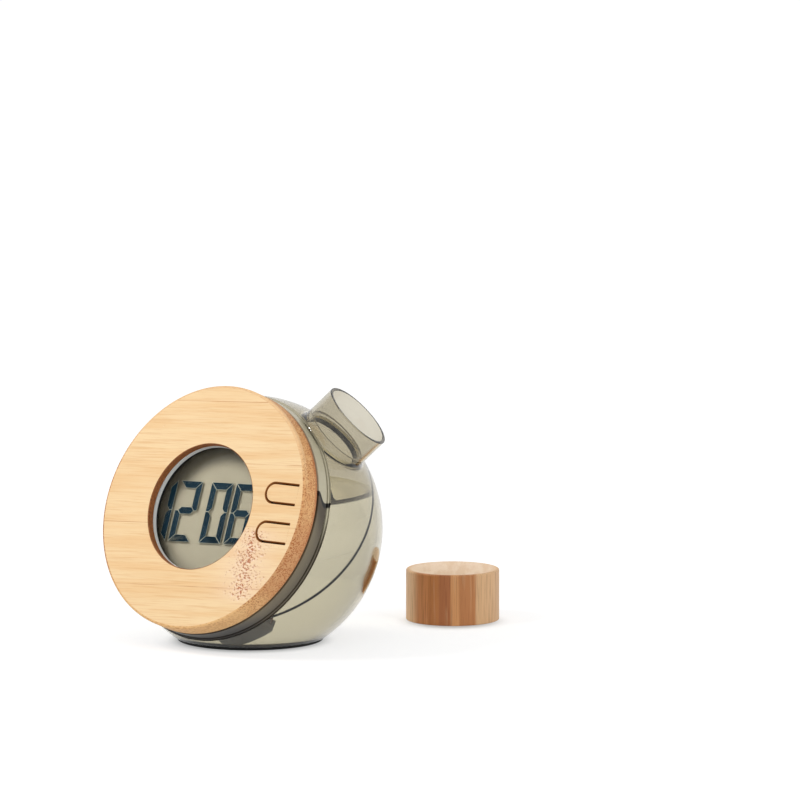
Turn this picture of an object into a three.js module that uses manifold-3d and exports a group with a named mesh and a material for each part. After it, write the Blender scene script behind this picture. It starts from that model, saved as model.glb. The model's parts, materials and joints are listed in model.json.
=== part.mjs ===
// Water-powered desk clock: a round bamboo face with a liquid-crystal display leans back on a smoke
// clear spherical water vessel with a filling neck. Two electrode plates in the vessel feed the clock.
// The bamboo cap of the neck stands beside it, taken off.
// Millimetres, +Z up. The origin is on the floor, at the centre of the foot pad, under the vessel's centre.
// The display looks towards -Y.
import * as THREE from "three";
import { mergeVertices } from "three/addons/utils/BufferGeometryUtils.js";
import Module from "manifold-3d";

const wasm = await Module();
wasm.setup();

// Gap between two pieces that seat on each other
const clearance = 0.3;

// Vessel: a ball a little larger than the face panel, cut flat to a round base
const vesselMargin = 2.8;
const vesselWall = 1.6;
const vesselFloor = 2.0;
const baseRadius = 27.35;
const footInset = 1.05;
const footThickness = 1.2;

// The parting line between the two vessel shells is a plane, turned right of the front and tipped up
const seamTurn = 20.6;
const seamTip = 43;
const seamOffset = 7.1;

// Filling neck, measured along its own axis from the vessel's centre
const neckTurn = 41.3;
const neckForward = 3.5;
const neckRadius = 13.4;
const neckWall = 1.3;
const neckReach = 59.3;
const neckFoot = 0.8;
const throatRadius = 9.5;

// Face panel: how far it leans back, and its sizes
const faceLean = 22;
const panelRadius = 45;
const panelThickness = 8.3;
const panelWeb = 2.8;
const panelRimWall = 2.4;
const panelChamfer = 0.7;
const windowRadius = 23.1;
const windowShift = -1.1;

// Buttons: tongues sawn out of the panel, with their roots at the rim side
const buttonRootInset = 4.2;
const buttonLength = 13.5;
const buttonWidth = 6.4;
const buttonSlot = 0.8;
const buttonPitch = 14.3;
const buttonMiddle = 0.85;
const buttonBossRadius = 1.4;
const buttonBossLength = 2.4;

// Display, its holder and its seals
const holderPlate = 1.7;
const holderWall = 1.5;
const holderEarRadius = 2.6;
const holderEarSpan = 24;
const holderEarDepth = 5.4;
const displayGasketThickness = 1.1;
const displayGasketInset = 0.3;
const displayLip = 1.9;
const displayThickness = 2.2;
const digitWidth = 9.2;
const digitHeight = 22.2;
const digitPitch = 11.3;
const digitStroke = 2.1;
const digitGap = 0.35;
const digitRelief = 0.12;
const colonX = -5.2;
const colonSpace = 4.8;
const digitMiddle = -0.5;
const stripWidth = 2.2;
const stripInset = 1.6;
const stripLength = 44;

// Circuit board and what it carries
const boardMargin = 1.5;
const boardThickness = 1.4;
const screwRadius = 1.0;
const screwHeadRadius = 1.9;
const screwHeadHeight = 1.3;
const screwSlotWidth = 0.7;
const switchSide = 6;
const switchHeight = 2.5;
const switchWellDepth = 1.9;
const plungerRadius = 1.6;
const plungerTravel = 0.6;
const chipRadius = 4.5;
const chipHeight = 1.3;
const crystalRadius = 1.5;
const crystalLength = 8;
const capacitorRadius = 5.5;
const capacitorHeight = 2.8;
const chipPlace = [2, 10];
const crystalPlace = [16, 16];
const capacitorPlace = [-14, 6];

// Module housing behind the panel
const collarDepth = 4.9;
const collarWall = 3;
const collarStep = 0.7;
const housingGasketThickness = 0.7;
const plugThickness = 1.5;
const plugClearance = 0.5;
const cupSetback = 3.5;
const cupWall = 1.5;
const cupDepth = 4.9;

// Electrodes, seen from the front at the right and the left of the middle
const electrodeSpan = 34;
const electrodeRise = 3.1;
const electrodeWidth = 18;
const electrodeLength = 28;
const electrodeThickness = 0.8;
const terminalRadius = 1.5;
const terminalFlangeRadius = 3;
const terminalFlangeHeight = 1;
const terminalTail = 0.6;
const terminalRise = 10;
const sealRadius = 3.8;
const sealThickness = 0.8;
const nutRadius = 3;
const nutHeight = 2;
const clipDepth = 7;
const clipGrip = 2;

// Cap, standing on the floor with its mouth down
const capX = 30.2;
const capY = 80.1;
const capRadius = 17.1;
const capHeight = 18.7;
const capWall = 1.9;
const capTop = 3.2;
const capChamfer = 0.6;
const linerTop = 1.5;
const linerInset = 0.5;
const capSealThickness = 1.2;

// Places along the face axis, counted from the vessel's centre towards the front
const vesselRadius = panelRadius + vesselMargin;
const innerRadius = vesselRadius - vesselWall;
const baseDepth = Math.sqrt(vesselRadius ** 2 - baseRadius ** 2);
const vesselCentreHeight = footThickness + baseDepth;
const collarRadius = panelRadius;
const shellEdge = Math.sqrt(vesselRadius ** 2 - (collarRadius + collarStep) ** 2);
const housingGasketBack = shellEdge + clearance;
const housingGasketFront = housingGasketBack + housingGasketThickness;
const collarBack = housingGasketFront + clearance;
const collarFront = collarBack + collarDepth;
const panelBack = collarFront + clearance;
const faceZ = panelBack + panelThickness;
const webBack = faceZ - panelWeb;
const holderFront = webBack - clearance;
const holderInside = holderFront - holderPlate;
const displayGasketFront = holderInside - clearance;
const displayGasketBack = displayGasketFront - displayGasketThickness;
const displayFront = displayGasketBack - clearance;
const displayBack = displayFront - displayThickness;
const boardBack = collarBack + clearance;
const boardFront = boardBack + boardThickness;
const plugBack = collarBack - plugThickness;
const cupBack = collarBack - cupDepth;
const cupInside = cupBack + cupWall;
const sealFront = cupBack - clearance;
const plateFront = sealFront - sealThickness - clearance;
const plateBack = plateFront - electrodeThickness;
const nutFront = plateBack - clearance;
const nutBack = nutFront - nutHeight;

// The plates' feet stand a little above the vessel's inner wall, which their outer corners meet first
const electrodeReach = (electrodeSpan + electrodeWidth) / 2;
const wallDepth = Math.sqrt(innerRadius ** 2 - plateFront ** 2 - electrodeReach ** 2);
const plateFoot = electrodeRise - wallDepth;

const pocketRadius = panelRadius - panelRimWall;
const collarInner = collarRadius - collarWall;
const boardRadius = collarInner - boardMargin;
const plugRadius = Math.sqrt(innerRadius ** 2 - shellEdge ** 2) - plugClearance;
const cupRadius = plugRadius - cupSetback;
const displaySide = 2 * (windowRadius + displayLip);
const holderInner = displaySide + 2 * clearance;
const holderOuter = holderInner + 2 * holderWall;
const buttonRootX = panelRadius - buttonRootInset;
const buttonHalf = buttonWidth / 2;
const bossX = buttonRootX - buttonLength + buttonHalf;
const buttonHeights = { upper: buttonMiddle + buttonPitch / 2, lower: buttonMiddle - buttonPitch / 2 };

// The holder's ears and their screws stand above and below it
const earHeight = holderOuter / 2 + holderEarRadius - clearance;
const earX = holderEarSpan / 2;

const headTurn = Math.PI / 2 - THREE.MathUtils.degToRad(faceLean);
const headMatrix = new THREE.Matrix4().makeRotationX(headTurn);
const beyondAll = 200;
const overcut = 1;
const roundSteps = 60;
const middleSteps = 44;
const smallSteps = 20;
const ballSteps = 48;
const hollowSteps = 36;
const domeSteps = 4;
const hexagon = 6;
const weldDistance = 1e-4;

const bamboo = new THREE.MeshStandardMaterial({ color: 0xeec48b, roughness: 0.55, metalness: 0 });
const darkBamboo = new THREE.MeshStandardMaterial({ color: 0xb87a45, roughness: 0.55, metalness: 0 });
const smokeClear = new THREE.MeshStandardMaterial({
  color: 0xb8b39a, roughness: 0.06, metalness: 0, transparent: true, opacity: 0.45,
});
const smokeDark = new THREE.MeshStandardMaterial({ color: 0x3f3d38, roughness: 0.25, metalness: 0 });
const whitePlastic = new THREE.MeshStandardMaterial({ color: 0xe9ebe8, roughness: 0.4, metalness: 0 });
const blackPlastic = new THREE.MeshStandardMaterial({ color: 0x1b1b1c, roughness: 0.45, metalness: 0 });
const blackRubber = new THREE.MeshStandardMaterial({ color: 0x151515, roughness: 0.85, metalness: 0 });
const paleRubber = new THREE.MeshStandardMaterial({ color: 0xd9d6cc, roughness: 0.7, metalness: 0 });
const displayGlass = new THREE.MeshStandardMaterial({ color: 0xb0a88e, roughness: 0.2, metalness: 0 });
const boardGreen = new THREE.MeshStandardMaterial({ color: 0x1f5a33, roughness: 0.5, metalness: 0 });
const copper = new THREE.MeshStandardMaterial({ color: 0xb06a3f, roughness: 0.35, metalness: 1 });
const zinc = new THREE.MeshStandardMaterial({ color: 0x9da3a6, roughness: 0.45, metalness: 1 });
const brass = new THREE.MeshStandardMaterial({ color: 0xc7a254, roughness: 0.3, metalness: 1 });
const steel = new THREE.MeshStandardMaterial({ color: 0xc3c6c9, roughness: 0.3, metalness: 1 });

// A closed three.js geometry as a solid that can be joined and cut
function solid(geometry) {
  const bare = geometry.clone();
  bare.deleteAttribute("normal");
  bare.deleteAttribute("uv");
  const merged = mergeVertices(bare, weldDistance);
  const corners = merged.index.array;
  const kept = [];
  for (let i = 0; i < corners.length; i += 3) {
    const [a, b, c] = corners.slice(i, i + 3);
    if (a !== b && b !== c && a !== c) kept.push(a, b, c);
  }
  return new wasm.Manifold(new wasm.Mesh({
    numProp: 3,
    vertProperties: new Float32Array(merged.attributes.position.array),
    triVerts: new Uint32Array(kept),
  }));
}

function addPart(group, name, body, material) {
  const mesh = body.getMesh();
  const geometry = new THREE.BufferGeometry();
  geometry.setAttribute("position", new THREE.BufferAttribute(mesh.vertProperties, 3));
  geometry.setIndex(new THREE.BufferAttribute(mesh.triVerts, 1));
  geometry.computeVertexNormals();
  const part = new THREE.Mesh(geometry, material);
  part.name = name;
  group.add(part);
  return part;
}

// A body of revolution about Z, from [radius, height] points that run anticlockwise
function turned(points, steps = roundSteps) {
  const profile = points.map(([radius, height]) => new THREE.Vector2(radius, height));
  const closed = points[0][0] > 0 || points.at(-1)[0] > 0;
  if (closed) profile.push(profile[0].clone());
  return solid(new THREE.LatheGeometry(profile, steps).rotateX(Math.PI / 2));
}

function ring(inner, outer, low, high, steps = roundSteps) {
  return turned([[inner, low], [outer, low], [outer, high], [inner, high]], steps);
}

function drum(radius, low, high, x = 0, y = 0, steps = smallSteps) {
  const geometry = new THREE.CylinderGeometry(radius, radius, high - low, steps);
  geometry.rotateX(Math.PI / 2).translate(x, y, (low + high) / 2);
  return solid(geometry);
}

function slab([x0, x1], [y0, y1], [z0, z1], matrix) {
  const geometry = new THREE.BoxGeometry(x1 - x0, y1 - y0, z1 - z0);
  geometry.translate((x0 + x1) / 2, (y0 + y1) / 2, (z0 + z1) / 2);
  if (matrix) geometry.applyMatrix4(matrix);
  return solid(geometry);
}

// An outline of [x, y] points or a THREE.Shape, thickened from one height to another
function plate(outline, low, high) {
  const shape = outline instanceof THREE.Shape ? outline : new THREE.Shape(outline.map(([x, y]) => (
    new THREE.Vector2(x, y)
  )));
  const settings = { depth: high - low, bevelEnabled: false, curveSegments: smallSteps / 2 };
  const geometry = new THREE.ExtrudeGeometry(shape, settings);
  return solid(geometry.translate(0, 0, low));
}

// A button's outline: straight sides from the root, and a round free end about the boss
function tongueShape(half, rootX, middleY) {
  const shape = new THREE.Shape();
  shape.moveTo(rootX, middleY + half);
  shape.lineTo(bossX, middleY + half);
  shape.absarc(bossX, middleY, half, Math.PI / 2, -Math.PI / 2, false);
  shape.lineTo(rootX, middleY - half);
  shape.closePath();
  return shape;
}

function frontPanel() {
  let panel = turned([
    [0, webBack], [pocketRadius, webBack], [pocketRadius, panelBack], [panelRadius, panelBack],
    [panelRadius, faceZ - panelChamfer], [panelRadius - panelChamfer, faceZ], [0, faceZ],
  ]);
  const hole = drum(windowRadius, webBack - overcut, faceZ + overcut, windowShift, 0, roundSteps);
  panel = panel.subtract(hole);
  for (const height of Object.values(buttonHeights)) {
    const opening = tongueShape(buttonHalf + buttonSlot, buttonRootX + clearance, height);
    panel = panel.subtract(plate(opening, webBack - overcut, faceZ + overcut));
  }
  return panel;
}

function button(height) {
  const tongue = plate(tongueShape(buttonHalf, buttonRootX, height), webBack, faceZ);
  const boss = drum(buttonBossRadius, webBack - buttonBossLength, webBack + panelWeb / 2, bossX, height);
  return tongue.add(boss);
}

function earPlaces() {
  return [[-earX, earHeight], [earX, earHeight], [-earX, -earHeight], [earX, -earHeight]];
}

// Room that a button's switch, plunger and boss need beside the display
function switchRoom(height) {
  const half = switchSide / 2 + clearance;
  const top = boardFront + switchHeight + 2 * clearance;
  return slab([bossX - half, bossX + half], [height - half, height + half], [boardFront, top])
    .add(drum(plungerRadius + clearance, boardFront, webBack, bossX, height));
}

// White frame that holds the display against the back of the window
function displayHolder() {
  const outer = holderOuter / 2;
  const inner = holderInner / 2;
  const low = boardFront + clearance;
  let holder = slab([windowShift - outer, windowShift + outer], [-outer, outer], [low, holderFront]);
  for (const [x, y] of earPlaces()) holder = holder.add(drum(holderEarRadius, low, holderInside, x, y));
  holder = holder.subtract(
    slab([windowShift - inner, windowShift + inner], [-inner, inner], [low - overcut, holderInside]),
  );
  holder = holder.subtract(drum(windowRadius, low, holderFront + overcut, windowShift, 0, roundSteps));
  const pilot = screwRadius + clearance;
  for (const [x, y] of earPlaces()) {
    holder = holder.subtract(drum(pilot, low - overcut, low + holderEarDepth, x, y));
  }
  for (const height of Object.values(buttonHeights)) holder = holder.subtract(switchRoom(height));
  const room = Math.min(pocketRadius, collarInner) - clearance;
  return holder.intersect(drum(room, low - overcut, holderFront + overcut, 0, 0, roundSteps));
}

function displayGasket() {
  const half = displaySide / 2 - displayGasketInset;
  const back = displayGasketBack;
  const front = displayGasketFront;
  const frame = slab([windowShift - half, windowShift + half], [-half, half], [back, front]);
  const opening = windowRadius + displayGasketInset;
  return frame.subtract(drum(opening, back - overcut, front + overcut, windowShift, 0, roundSteps));
}

// The seven strokes of a digit, each a bar with pointed ends between two corners of the figure eight
function strokeOutline(name, left) {
  const half = digitStroke / 2;
  const x0 = left + half;
  const x1 = left + digitWidth - half;
  const reach = digitHeight / 2 - half;
  const y = { top: digitMiddle + reach, middle: digitMiddle, low: digitMiddle - reach };
  const ends = {
    top: [x0, y.top, x1, y.top], middle: [x0, y.middle, x1, y.middle], bottom: [x0, y.low, x1, y.low],
    upperLeft: [x0, y.middle, x0, y.top], upperRight: [x1, y.middle, x1, y.top],
    lowerLeft: [x0, y.low, x0, y.middle], lowerRight: [x1, y.low, x1, y.middle],
  }[name];
  const [ax, ay, bx, by] = ends;
  const flat = ay === by;
  const along = (x, y2, forward, side) => (flat ? [x + forward, y2 + side] : [x - side, y2 + forward]);
  const point = digitGap;
  const shoulder = digitGap + half;
  return [
    along(ax, ay, point, 0), along(ax, ay, shoulder, -half), along(bx, by, -shoulder, -half),
    along(bx, by, -point, 0), along(bx, by, -shoulder, half), along(ax, ay, shoulder, half),
  ];
}

const digitStrokes = {
  0: ["top", "upperLeft", "upperRight", "lowerLeft", "lowerRight", "bottom"],
  1: ["upperRight", "lowerRight"],
  2: ["top", "upperRight", "middle", "lowerLeft", "bottom"],
  6: ["top", "upperLeft", "middle", "lowerLeft", "lowerRight", "bottom"],
};

// Glass cell with the time 12:06 standing just proud of its front
function displayCell() {
  const half = displaySide / 2;
  let cell = slab([windowShift - half, windowShift + half], [-half, half], [displayBack, displayFront]);
  const pairWidth = digitPitch + digitWidth;
  const leftPair = colonX - colonSpace / 2 - pairWidth;
  const rightPair = colonX + colonSpace / 2;
  const digits = [[1, leftPair], [2, leftPair + digitPitch], [0, rightPair], [6, rightPair + digitPitch]];
  for (const [digit, left] of digits) {
    for (const name of digitStrokes[digit]) {
      const bar = plate(strokeOutline(name, left), displayFront - digitRelief, displayFront + digitRelief);
      cell = cell.add(bar);
    }
  }
  return cell;
}

// Rubber strip that joins the display's contacts to the board
function connectorStrip(side) {
  const outer = displaySide / 2 - stripInset;
  const edges = [side * outer, side * (outer - stripWidth)].sort((a, b) => a - b);
  const halfLength = stripLength / 2;
  const span = [windowShift - halfLength, windowShift + halfLength];
  return slab(span, edges, [boardFront + clearance, displayBack - clearance]);
}

function circuitBoard() {
  let board = turned([
    [0, boardBack], [boardRadius, boardBack], [boardRadius, boardFront], [0, boardFront],
  ]);
  const hole = screwRadius + clearance;
  for (const [x, y] of earPlaces()) {
    board = board.subtract(drum(hole, boardBack - overcut, boardFront + overcut, x, y));
  }
  return board;
}

function boardScrew([x, y]) {
  const headTop = boardBack - clearance;
  const shankTop = boardFront + holderEarDepth;
  const screw = drum(screwHeadRadius, headTop - screwHeadHeight, headTop, x, y)
    .add(drum(screwRadius, headTop - screwHeadHeight / 2, shankTop - clearance, x, y));
  const slotHalf = screwSlotWidth / 2;
  const slotFloor = headTop - screwHeadHeight / 2;
  return screw.subtract(slab(
    [x - screwHeadRadius - overcut, x + screwHeadRadius + overcut], [y - slotHalf, y + slotHalf],
    [slotFloor - screwHeadHeight, slotFloor],
  ));
}

function switchBody(height) {
  const half = switchSide / 2;
  const low = boardFront + clearance;
  const top = low + switchHeight;
  const block = slab([bossX - half, bossX + half], [height - half, height + half], [low, top]);
  const well = drum(plungerRadius + clearance, top - switchWellDepth, top + overcut, bossX, height);
  return block.subtract(well);
}

function switchPlunger(height) {
  const wellFloor = boardFront + clearance + switchHeight - switchWellDepth;
  const top = webBack - buttonBossLength - clearance;
  return drum(plungerRadius, wellFloor + plungerTravel + clearance, top, bossX, height);
}

// Drop of black resin over the clock's chip, on the back of the board
function clockChip([x, y]) {
  const base = boardBack - clearance;
  const points = [[0, base - chipHeight]];
  for (let i = 1; i <= domeSteps; i += 1) {
    const angle = (i / domeSteps) * Math.PI / 2;
    points.push([chipRadius * Math.sin(angle), base - chipHeight * Math.cos(angle)]);
  }
  points.push([0, base]);
  const geometry = new THREE.LatheGeometry(points.map(([r, h]) => new THREE.Vector2(r, h)), smallSteps);
  return solid(geometry.rotateX(Math.PI / 2).translate(x, y, 0));
}

function quartzCrystal([x, y]) {
  const geometry = new THREE.CylinderGeometry(crystalRadius, crystalRadius, crystalLength, smallSteps);
  return solid(geometry.rotateZ(Math.PI / 2).translate(x, y, boardBack - clearance - crystalRadius));
}

function storageCapacitor([x, y]) {
  const top = boardBack - clearance;
  return drum(capacitorRadius, top - capacitorHeight, top, x, y);
}

// Dark housing: the collar behind the panel, a plug in the vessel's mouth and a cup for the board's parts
function moduleHousing() {
  const cupInner = cupRadius - cupWall;
  let housing = turned([
    [0, cupBack], [cupRadius, cupBack], [cupRadius, plugBack], [plugRadius, plugBack],
    [plugRadius, collarBack], [collarRadius, collarBack], [collarRadius, collarFront],
    [collarInner, collarFront], [collarInner, collarBack], [cupInner, collarBack],
    [cupInner, cupInside], [0, cupInside],
  ]);
  for (const side of [-1, 1]) {
    const [x, y] = terminalPlace(side);
    const hole = drum(terminalRadius + clearance, cupBack - overcut, cupInside + overcut, x, y);
    housing = housing.subtract(hole);
  }
  return housing;
}

function housingGasket() {
  const inner = plugRadius + clearance;
  return ring(inner, collarRadius + collarStep / 2, housingGasketBack, housingGasketFront);
}

function terminalPlace(side) {
  return [side * electrodeSpan / 2, plateFoot + terminalRise];
}

function terminal(side) {
  const [x, y] = terminalPlace(side);
  const flangeLow = cupInside + clearance;
  return drum(terminalRadius, nutBack - terminalTail, boardBack - clearance, x, y)
    .add(drum(terminalFlangeRadius, flangeLow, flangeLow + terminalFlangeHeight, x, y));
}

function terminalSeal(side) {
  const [x, y] = terminalPlace(side);
  const back = sealFront - sealThickness;
  const hole = drum(terminalRadius + clearance, back - overcut, sealFront + overcut, x, y);
  return drum(sealRadius, back, sealFront, x, y).subtract(hole);
}

function terminalNut(side) {
  const [x, y] = terminalPlace(side);
  const hole = drum(terminalRadius + clearance, nutBack - overcut, nutFront + overcut, x, y);
  return drum(nutRadius, nutBack, nutFront, x, y, hexagon).subtract(hole);
}

function electrodePlate(side) {
  const x = side * electrodeSpan / 2;
  const halfWidth = electrodeWidth / 2;
  const sheet = slab(
    [x - halfWidth, x + halfWidth], [plateFoot, plateFoot + electrodeLength], [plateBack, plateFront],
  );
  const [holeX, holeY] = terminalPlace(side);
  const hole = drum(terminalRadius + clearance, plateBack - overcut, plateFront + overcut, holeX, holeY);
  return sheet.subtract(hole);
}

// Dark clip under an electrode, shaped to the vessel's inner wall, with a groove for the plate's foot
function electrodeClip(side) {
  const x = side * electrodeSpan / 2;
  const halfWidth = electrodeWidth / 2;
  const front = plugBack - clearance;
  const top = plateFoot + clipGrip;
  let clip = slab([x - halfWidth, x + halfWidth], [-vesselRadius, top], [front - clipDepth, front]);
  clip = clip.intersect(ball(innerRadius - 2 * clearance));
  clip = clip.subtract(beyond(downFromHead, baseDepth - vesselFloor - clearance));
  clip = clip.subtract(drum(cupRadius + clearance, cupBack - clearance, beyondAll, 0, 0, roundSteps));
  const across = [-beyondAll, beyondAll];
  const groove = [plateBack - clearance, plateFront + clearance];
  return clip.subtract(slab(across, [plateFoot - clearance, beyondAll], groove));
}

// A ball about the vessel's centre, with its poles on the face axis
function ball(radius, steps = ballSteps, matrix = undefined) {
  const geometry = new THREE.SphereGeometry(radius, steps, steps / 2).rotateX(Math.PI / 2);
  if (matrix) geometry.applyMatrix4(matrix);
  return solid(geometry);
}

// Everything on the far side of a plane: normal and offset are counted from the vessel's centre
function beyond(normal, offset) {
  const turn = new THREE.Quaternion().setFromUnitVectors(new THREE.Vector3(0, 0, 1), normal);
  const across = [-beyondAll, beyondAll];
  const placed = new THREE.Matrix4().makeRotationFromQuaternion(turn);
  return slab(across, across, [offset, beyondAll], placed);
}

const faceNormal = new THREE.Vector3(0, 0, 1).applyMatrix4(headMatrix);
const down = new THREE.Vector3(0, 0, -1);
const downFromHead = down.clone().applyMatrix4(headMatrix.clone().invert());
const seamTurnAngle = THREE.MathUtils.degToRad(seamTurn);
const seamTipAngle = THREE.MathUtils.degToRad(seamTip);
const seamNormal = new THREE.Vector3(
  Math.sin(seamTurnAngle) * Math.cos(seamTipAngle),
  -Math.cos(seamTurnAngle) * Math.cos(seamTipAngle),
  Math.sin(seamTipAngle),
);

function hollow() {
  return ball(innerRadius, hollowSteps, headMatrix).subtract(beyond(down, baseDepth - vesselFloor));
}

// Larger shell: the back of the vessel with its flat base
function vesselShell() {
  return ball(vesselRadius, ballSteps, headMatrix)
    .subtract(beyond(down, baseDepth))
    .subtract(hollow())
    .subtract(beyond(faceNormal, shellEdge))
    .subtract(beyond(seamNormal, seamOffset - clearance / 2));
}

// A rod along the neck's axis, between two distances from the vessel's centre
function neckRod(radius, low, high) {
  const geometry = new THREE.CylinderGeometry(radius, radius, high - low, middleSteps);
  geometry.translate(0, (low + high) / 2, 0);
  geometry.rotateZ(-THREE.MathUtils.degToRad(neckTurn));
  geometry.translate(0, 0, neckForward);
  return solid(geometry.applyMatrix4(headMatrix));
}

// Smaller shell: a crescent at the upper right with the filling neck
function neckShell() {
  const mouthRadius = collarRadius + collarStep / 2 + clearance;
  const mouth = new THREE.CylinderGeometry(mouthRadius, mouthRadius, beyondAll, roundSteps);
  mouth.rotateX(Math.PI / 2).translate(0, 0, shellEdge + beyondAll / 2).applyMatrix4(headMatrix);
  const neckFloor = vesselRadius + neckFoot;
  return ball(vesselRadius, ballSteps, headMatrix)
    .subtract(beyond(faceNormal, shellEdge))
    .add(neckRod(neckRadius, vesselRadius / 2, neckReach).subtract(solid(mouth)))
    .subtract(hollow())
    .subtract(neckRod(neckRadius - neckWall, neckFloor, neckReach + overcut))
    .subtract(neckRod(throatRadius, vesselRadius / 2, neckReach))
    .subtract(beyond(seamNormal.clone().negate(), -seamOffset - clearance / 2));
}

function footPad() {
  const footRadius = baseRadius - footInset;
  return turned([[0, 0], [footRadius, 0], [footRadius, footThickness], [0, footThickness]]);
}

function capShell() {
  const bore = capRadius - capWall;
  return turned([
    [bore, 0], [capRadius, 0], [capRadius, capHeight - capChamfer], [capRadius - capChamfer, capHeight],
    [0, capHeight], [0, capHeight - capTop], [bore, capHeight - capTop],
  ], middleSteps);
}

const linerOuter = capRadius - capWall - clearance;
const linerInner = neckRadius + clearance;
const linerCeiling = capHeight - capTop - clearance;

function capLiner() {
  return turned([
    [linerInner, linerInset], [linerOuter, linerInset], [linerOuter, linerCeiling], [0, linerCeiling],
    [0, linerCeiling - linerTop], [linerInner, linerCeiling - linerTop],
  ], middleSteps);
}

function capSeal() {
  const top = linerCeiling - linerTop - clearance;
  return drum(linerInner - clearance, top - capSealThickness, top, 0, 0, middleSteps);
}

const clock = new THREE.Group();
clock.name = "water_powered_clock";

const vessel = new THREE.Group();
vessel.position.z = vesselCentreHeight;
addPart(vessel, "vessel_shell", vesselShell(), smokeClear);
addPart(vessel, "neck_shell", neckShell(), smokeClear);
clock.add(vessel);

addPart(clock, "foot_pad", footPad(), blackRubber);

const head = new THREE.Group();
head.position.z = vesselCentreHeight;
head.rotation.x = headTurn;
addPart(head, "front_panel", frontPanel(), bamboo);
for (const [place, height] of Object.entries(buttonHeights)) {
  addPart(head, `button_${place}`, button(height), bamboo);
  addPart(head, `switch_body_${place}`, switchBody(height), blackPlastic);
  addPart(head, `switch_plunger_${place}`, switchPlunger(height), paleRubber);
}
addPart(head, "display_holder", displayHolder(), whitePlastic);
addPart(head, "display_gasket", displayGasket(), blackRubber);
addPart(head, "display_cell", displayCell(), displayGlass);
addPart(head, "connector_strip_upper", connectorStrip(1), paleRubber);
addPart(head, "connector_strip_lower", connectorStrip(-1), paleRubber);
addPart(head, "circuit_board", circuitBoard(), boardGreen);
earPlaces().forEach((place, index) => addPart(head, `board_screw_${index + 1}`, boardScrew(place), steel));
addPart(head, "clock_chip", clockChip(chipPlace), blackPlastic);
addPart(head, "quartz_crystal", quartzCrystal(crystalPlace), steel);
addPart(head, "storage_capacitor", storageCapacitor(capacitorPlace), blackPlastic);
addPart(head, "module_housing", moduleHousing(), smokeDark);
addPart(head, "housing_gasket", housingGasket(), blackRubber);
for (const [metal, side, material] of [["copper", 1, copper], ["zinc", -1, zinc]]) {
  addPart(head, `${metal}_electrode`, electrodePlate(side), material);
  addPart(head, `${metal}_terminal`, terminal(side), brass);
  addPart(head, `${metal}_terminal_seal`, terminalSeal(side), blackRubber);
  addPart(head, `${metal}_terminal_nut`, terminalNut(side), brass);
  addPart(head, `${metal}_clip`, electrodeClip(side), smokeDark);
}
clock.add(head);

const cap = new THREE.Group();
cap.position.set(capX, capY, 0);
addPart(cap, "cap_shell", capShell(), darkBamboo);
addPart(cap, "cap_liner", capLiner(), whitePlastic);
addPart(cap, "cap_seal", capSeal(), paleRubber);
clock.add(cap);

export default clock;
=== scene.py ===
# Water-powered desk clock: the looks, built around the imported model
import json
import math

import bmesh
import bpy
from mathutils import Matrix, Vector
from mathutils.geometry import delaunay_2d_cdt


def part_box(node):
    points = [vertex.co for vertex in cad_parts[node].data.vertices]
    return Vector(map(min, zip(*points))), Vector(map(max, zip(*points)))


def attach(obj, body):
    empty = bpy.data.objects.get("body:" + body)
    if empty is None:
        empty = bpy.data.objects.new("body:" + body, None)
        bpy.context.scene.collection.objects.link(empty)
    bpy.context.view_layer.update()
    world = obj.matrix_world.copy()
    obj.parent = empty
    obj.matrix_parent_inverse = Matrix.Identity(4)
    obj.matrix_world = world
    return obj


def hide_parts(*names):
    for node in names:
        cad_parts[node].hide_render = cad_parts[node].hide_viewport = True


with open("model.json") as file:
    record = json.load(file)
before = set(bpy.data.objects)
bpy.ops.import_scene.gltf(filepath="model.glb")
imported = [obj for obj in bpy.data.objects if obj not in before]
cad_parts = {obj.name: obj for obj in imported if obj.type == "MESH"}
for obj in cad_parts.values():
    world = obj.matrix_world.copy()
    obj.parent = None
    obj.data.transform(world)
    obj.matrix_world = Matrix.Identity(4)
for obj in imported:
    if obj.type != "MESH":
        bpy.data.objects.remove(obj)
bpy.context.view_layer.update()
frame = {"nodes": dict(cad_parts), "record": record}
print("frame loaded:", len(frame["nodes"]), "nodes")

mm = 0.001
allWay = 2 * math.pi
onAxis, noLength, noTurn = 1e-6, 1e-5, 1e-4

# Driving sizes in millimetres, as in the frame
vessel = {
    "radius": 47.8, "wall": 1.6, "floor": 2.0, "baseRadius": 27.35, "baseHeight": 1.2,
    "seamTurn": 20.6, "seamTip": 43.0, "seamOffset": 7.1, "seamGap": 0.06, "faceLean": 22.0,
    "segments": 176,
}
vessel["inner"] = vessel["radius"] - vessel["wall"]
baseDepth = math.sqrt(vessel["radius"] ** 2 - vessel["baseRadius"] ** 2)
centreHeight = vessel["baseHeight"] + baseDepth
headPlace = Matrix.Translation((0, 0, centreHeight * mm)) @ Matrix.Rotation(
    math.radians(90 - vessel["faceLean"]), 4, "X"
)
ballPlace = Matrix.Translation((0, 0, centreHeight * mm))


# A CAD node's box in the millimetres of the leaning face
def boxIn(node):
    back = headPlace.inverted()
    points = [back @ v.co / mm for v in frame["nodes"][node].data.vertices]
    low = Vector(min(p[i] for p in points) for i in range(3))
    high = Vector(max(p[i] for p in points) for i in range(3))
    return low, high


# Mesh tools


def emptyShape():
    return {"points": [], "faces": [], "normals": [], "finish": []}


def addPoints(shape, points):
    first = len(shape["points"])
    shape["points"].extend(points)
    return list(range(first, first + len(points)))


def addFace(shape, corners, normals, finish=0):
    shape["faces"].append(corners)
    shape["normals"].extend(normals)
    shape["finish"].append(finish)


def addObject(name, data):
    made = bpy.data.objects.new(name, data)
    bpy.context.scene.collection.objects.link(made)
    return made


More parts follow.
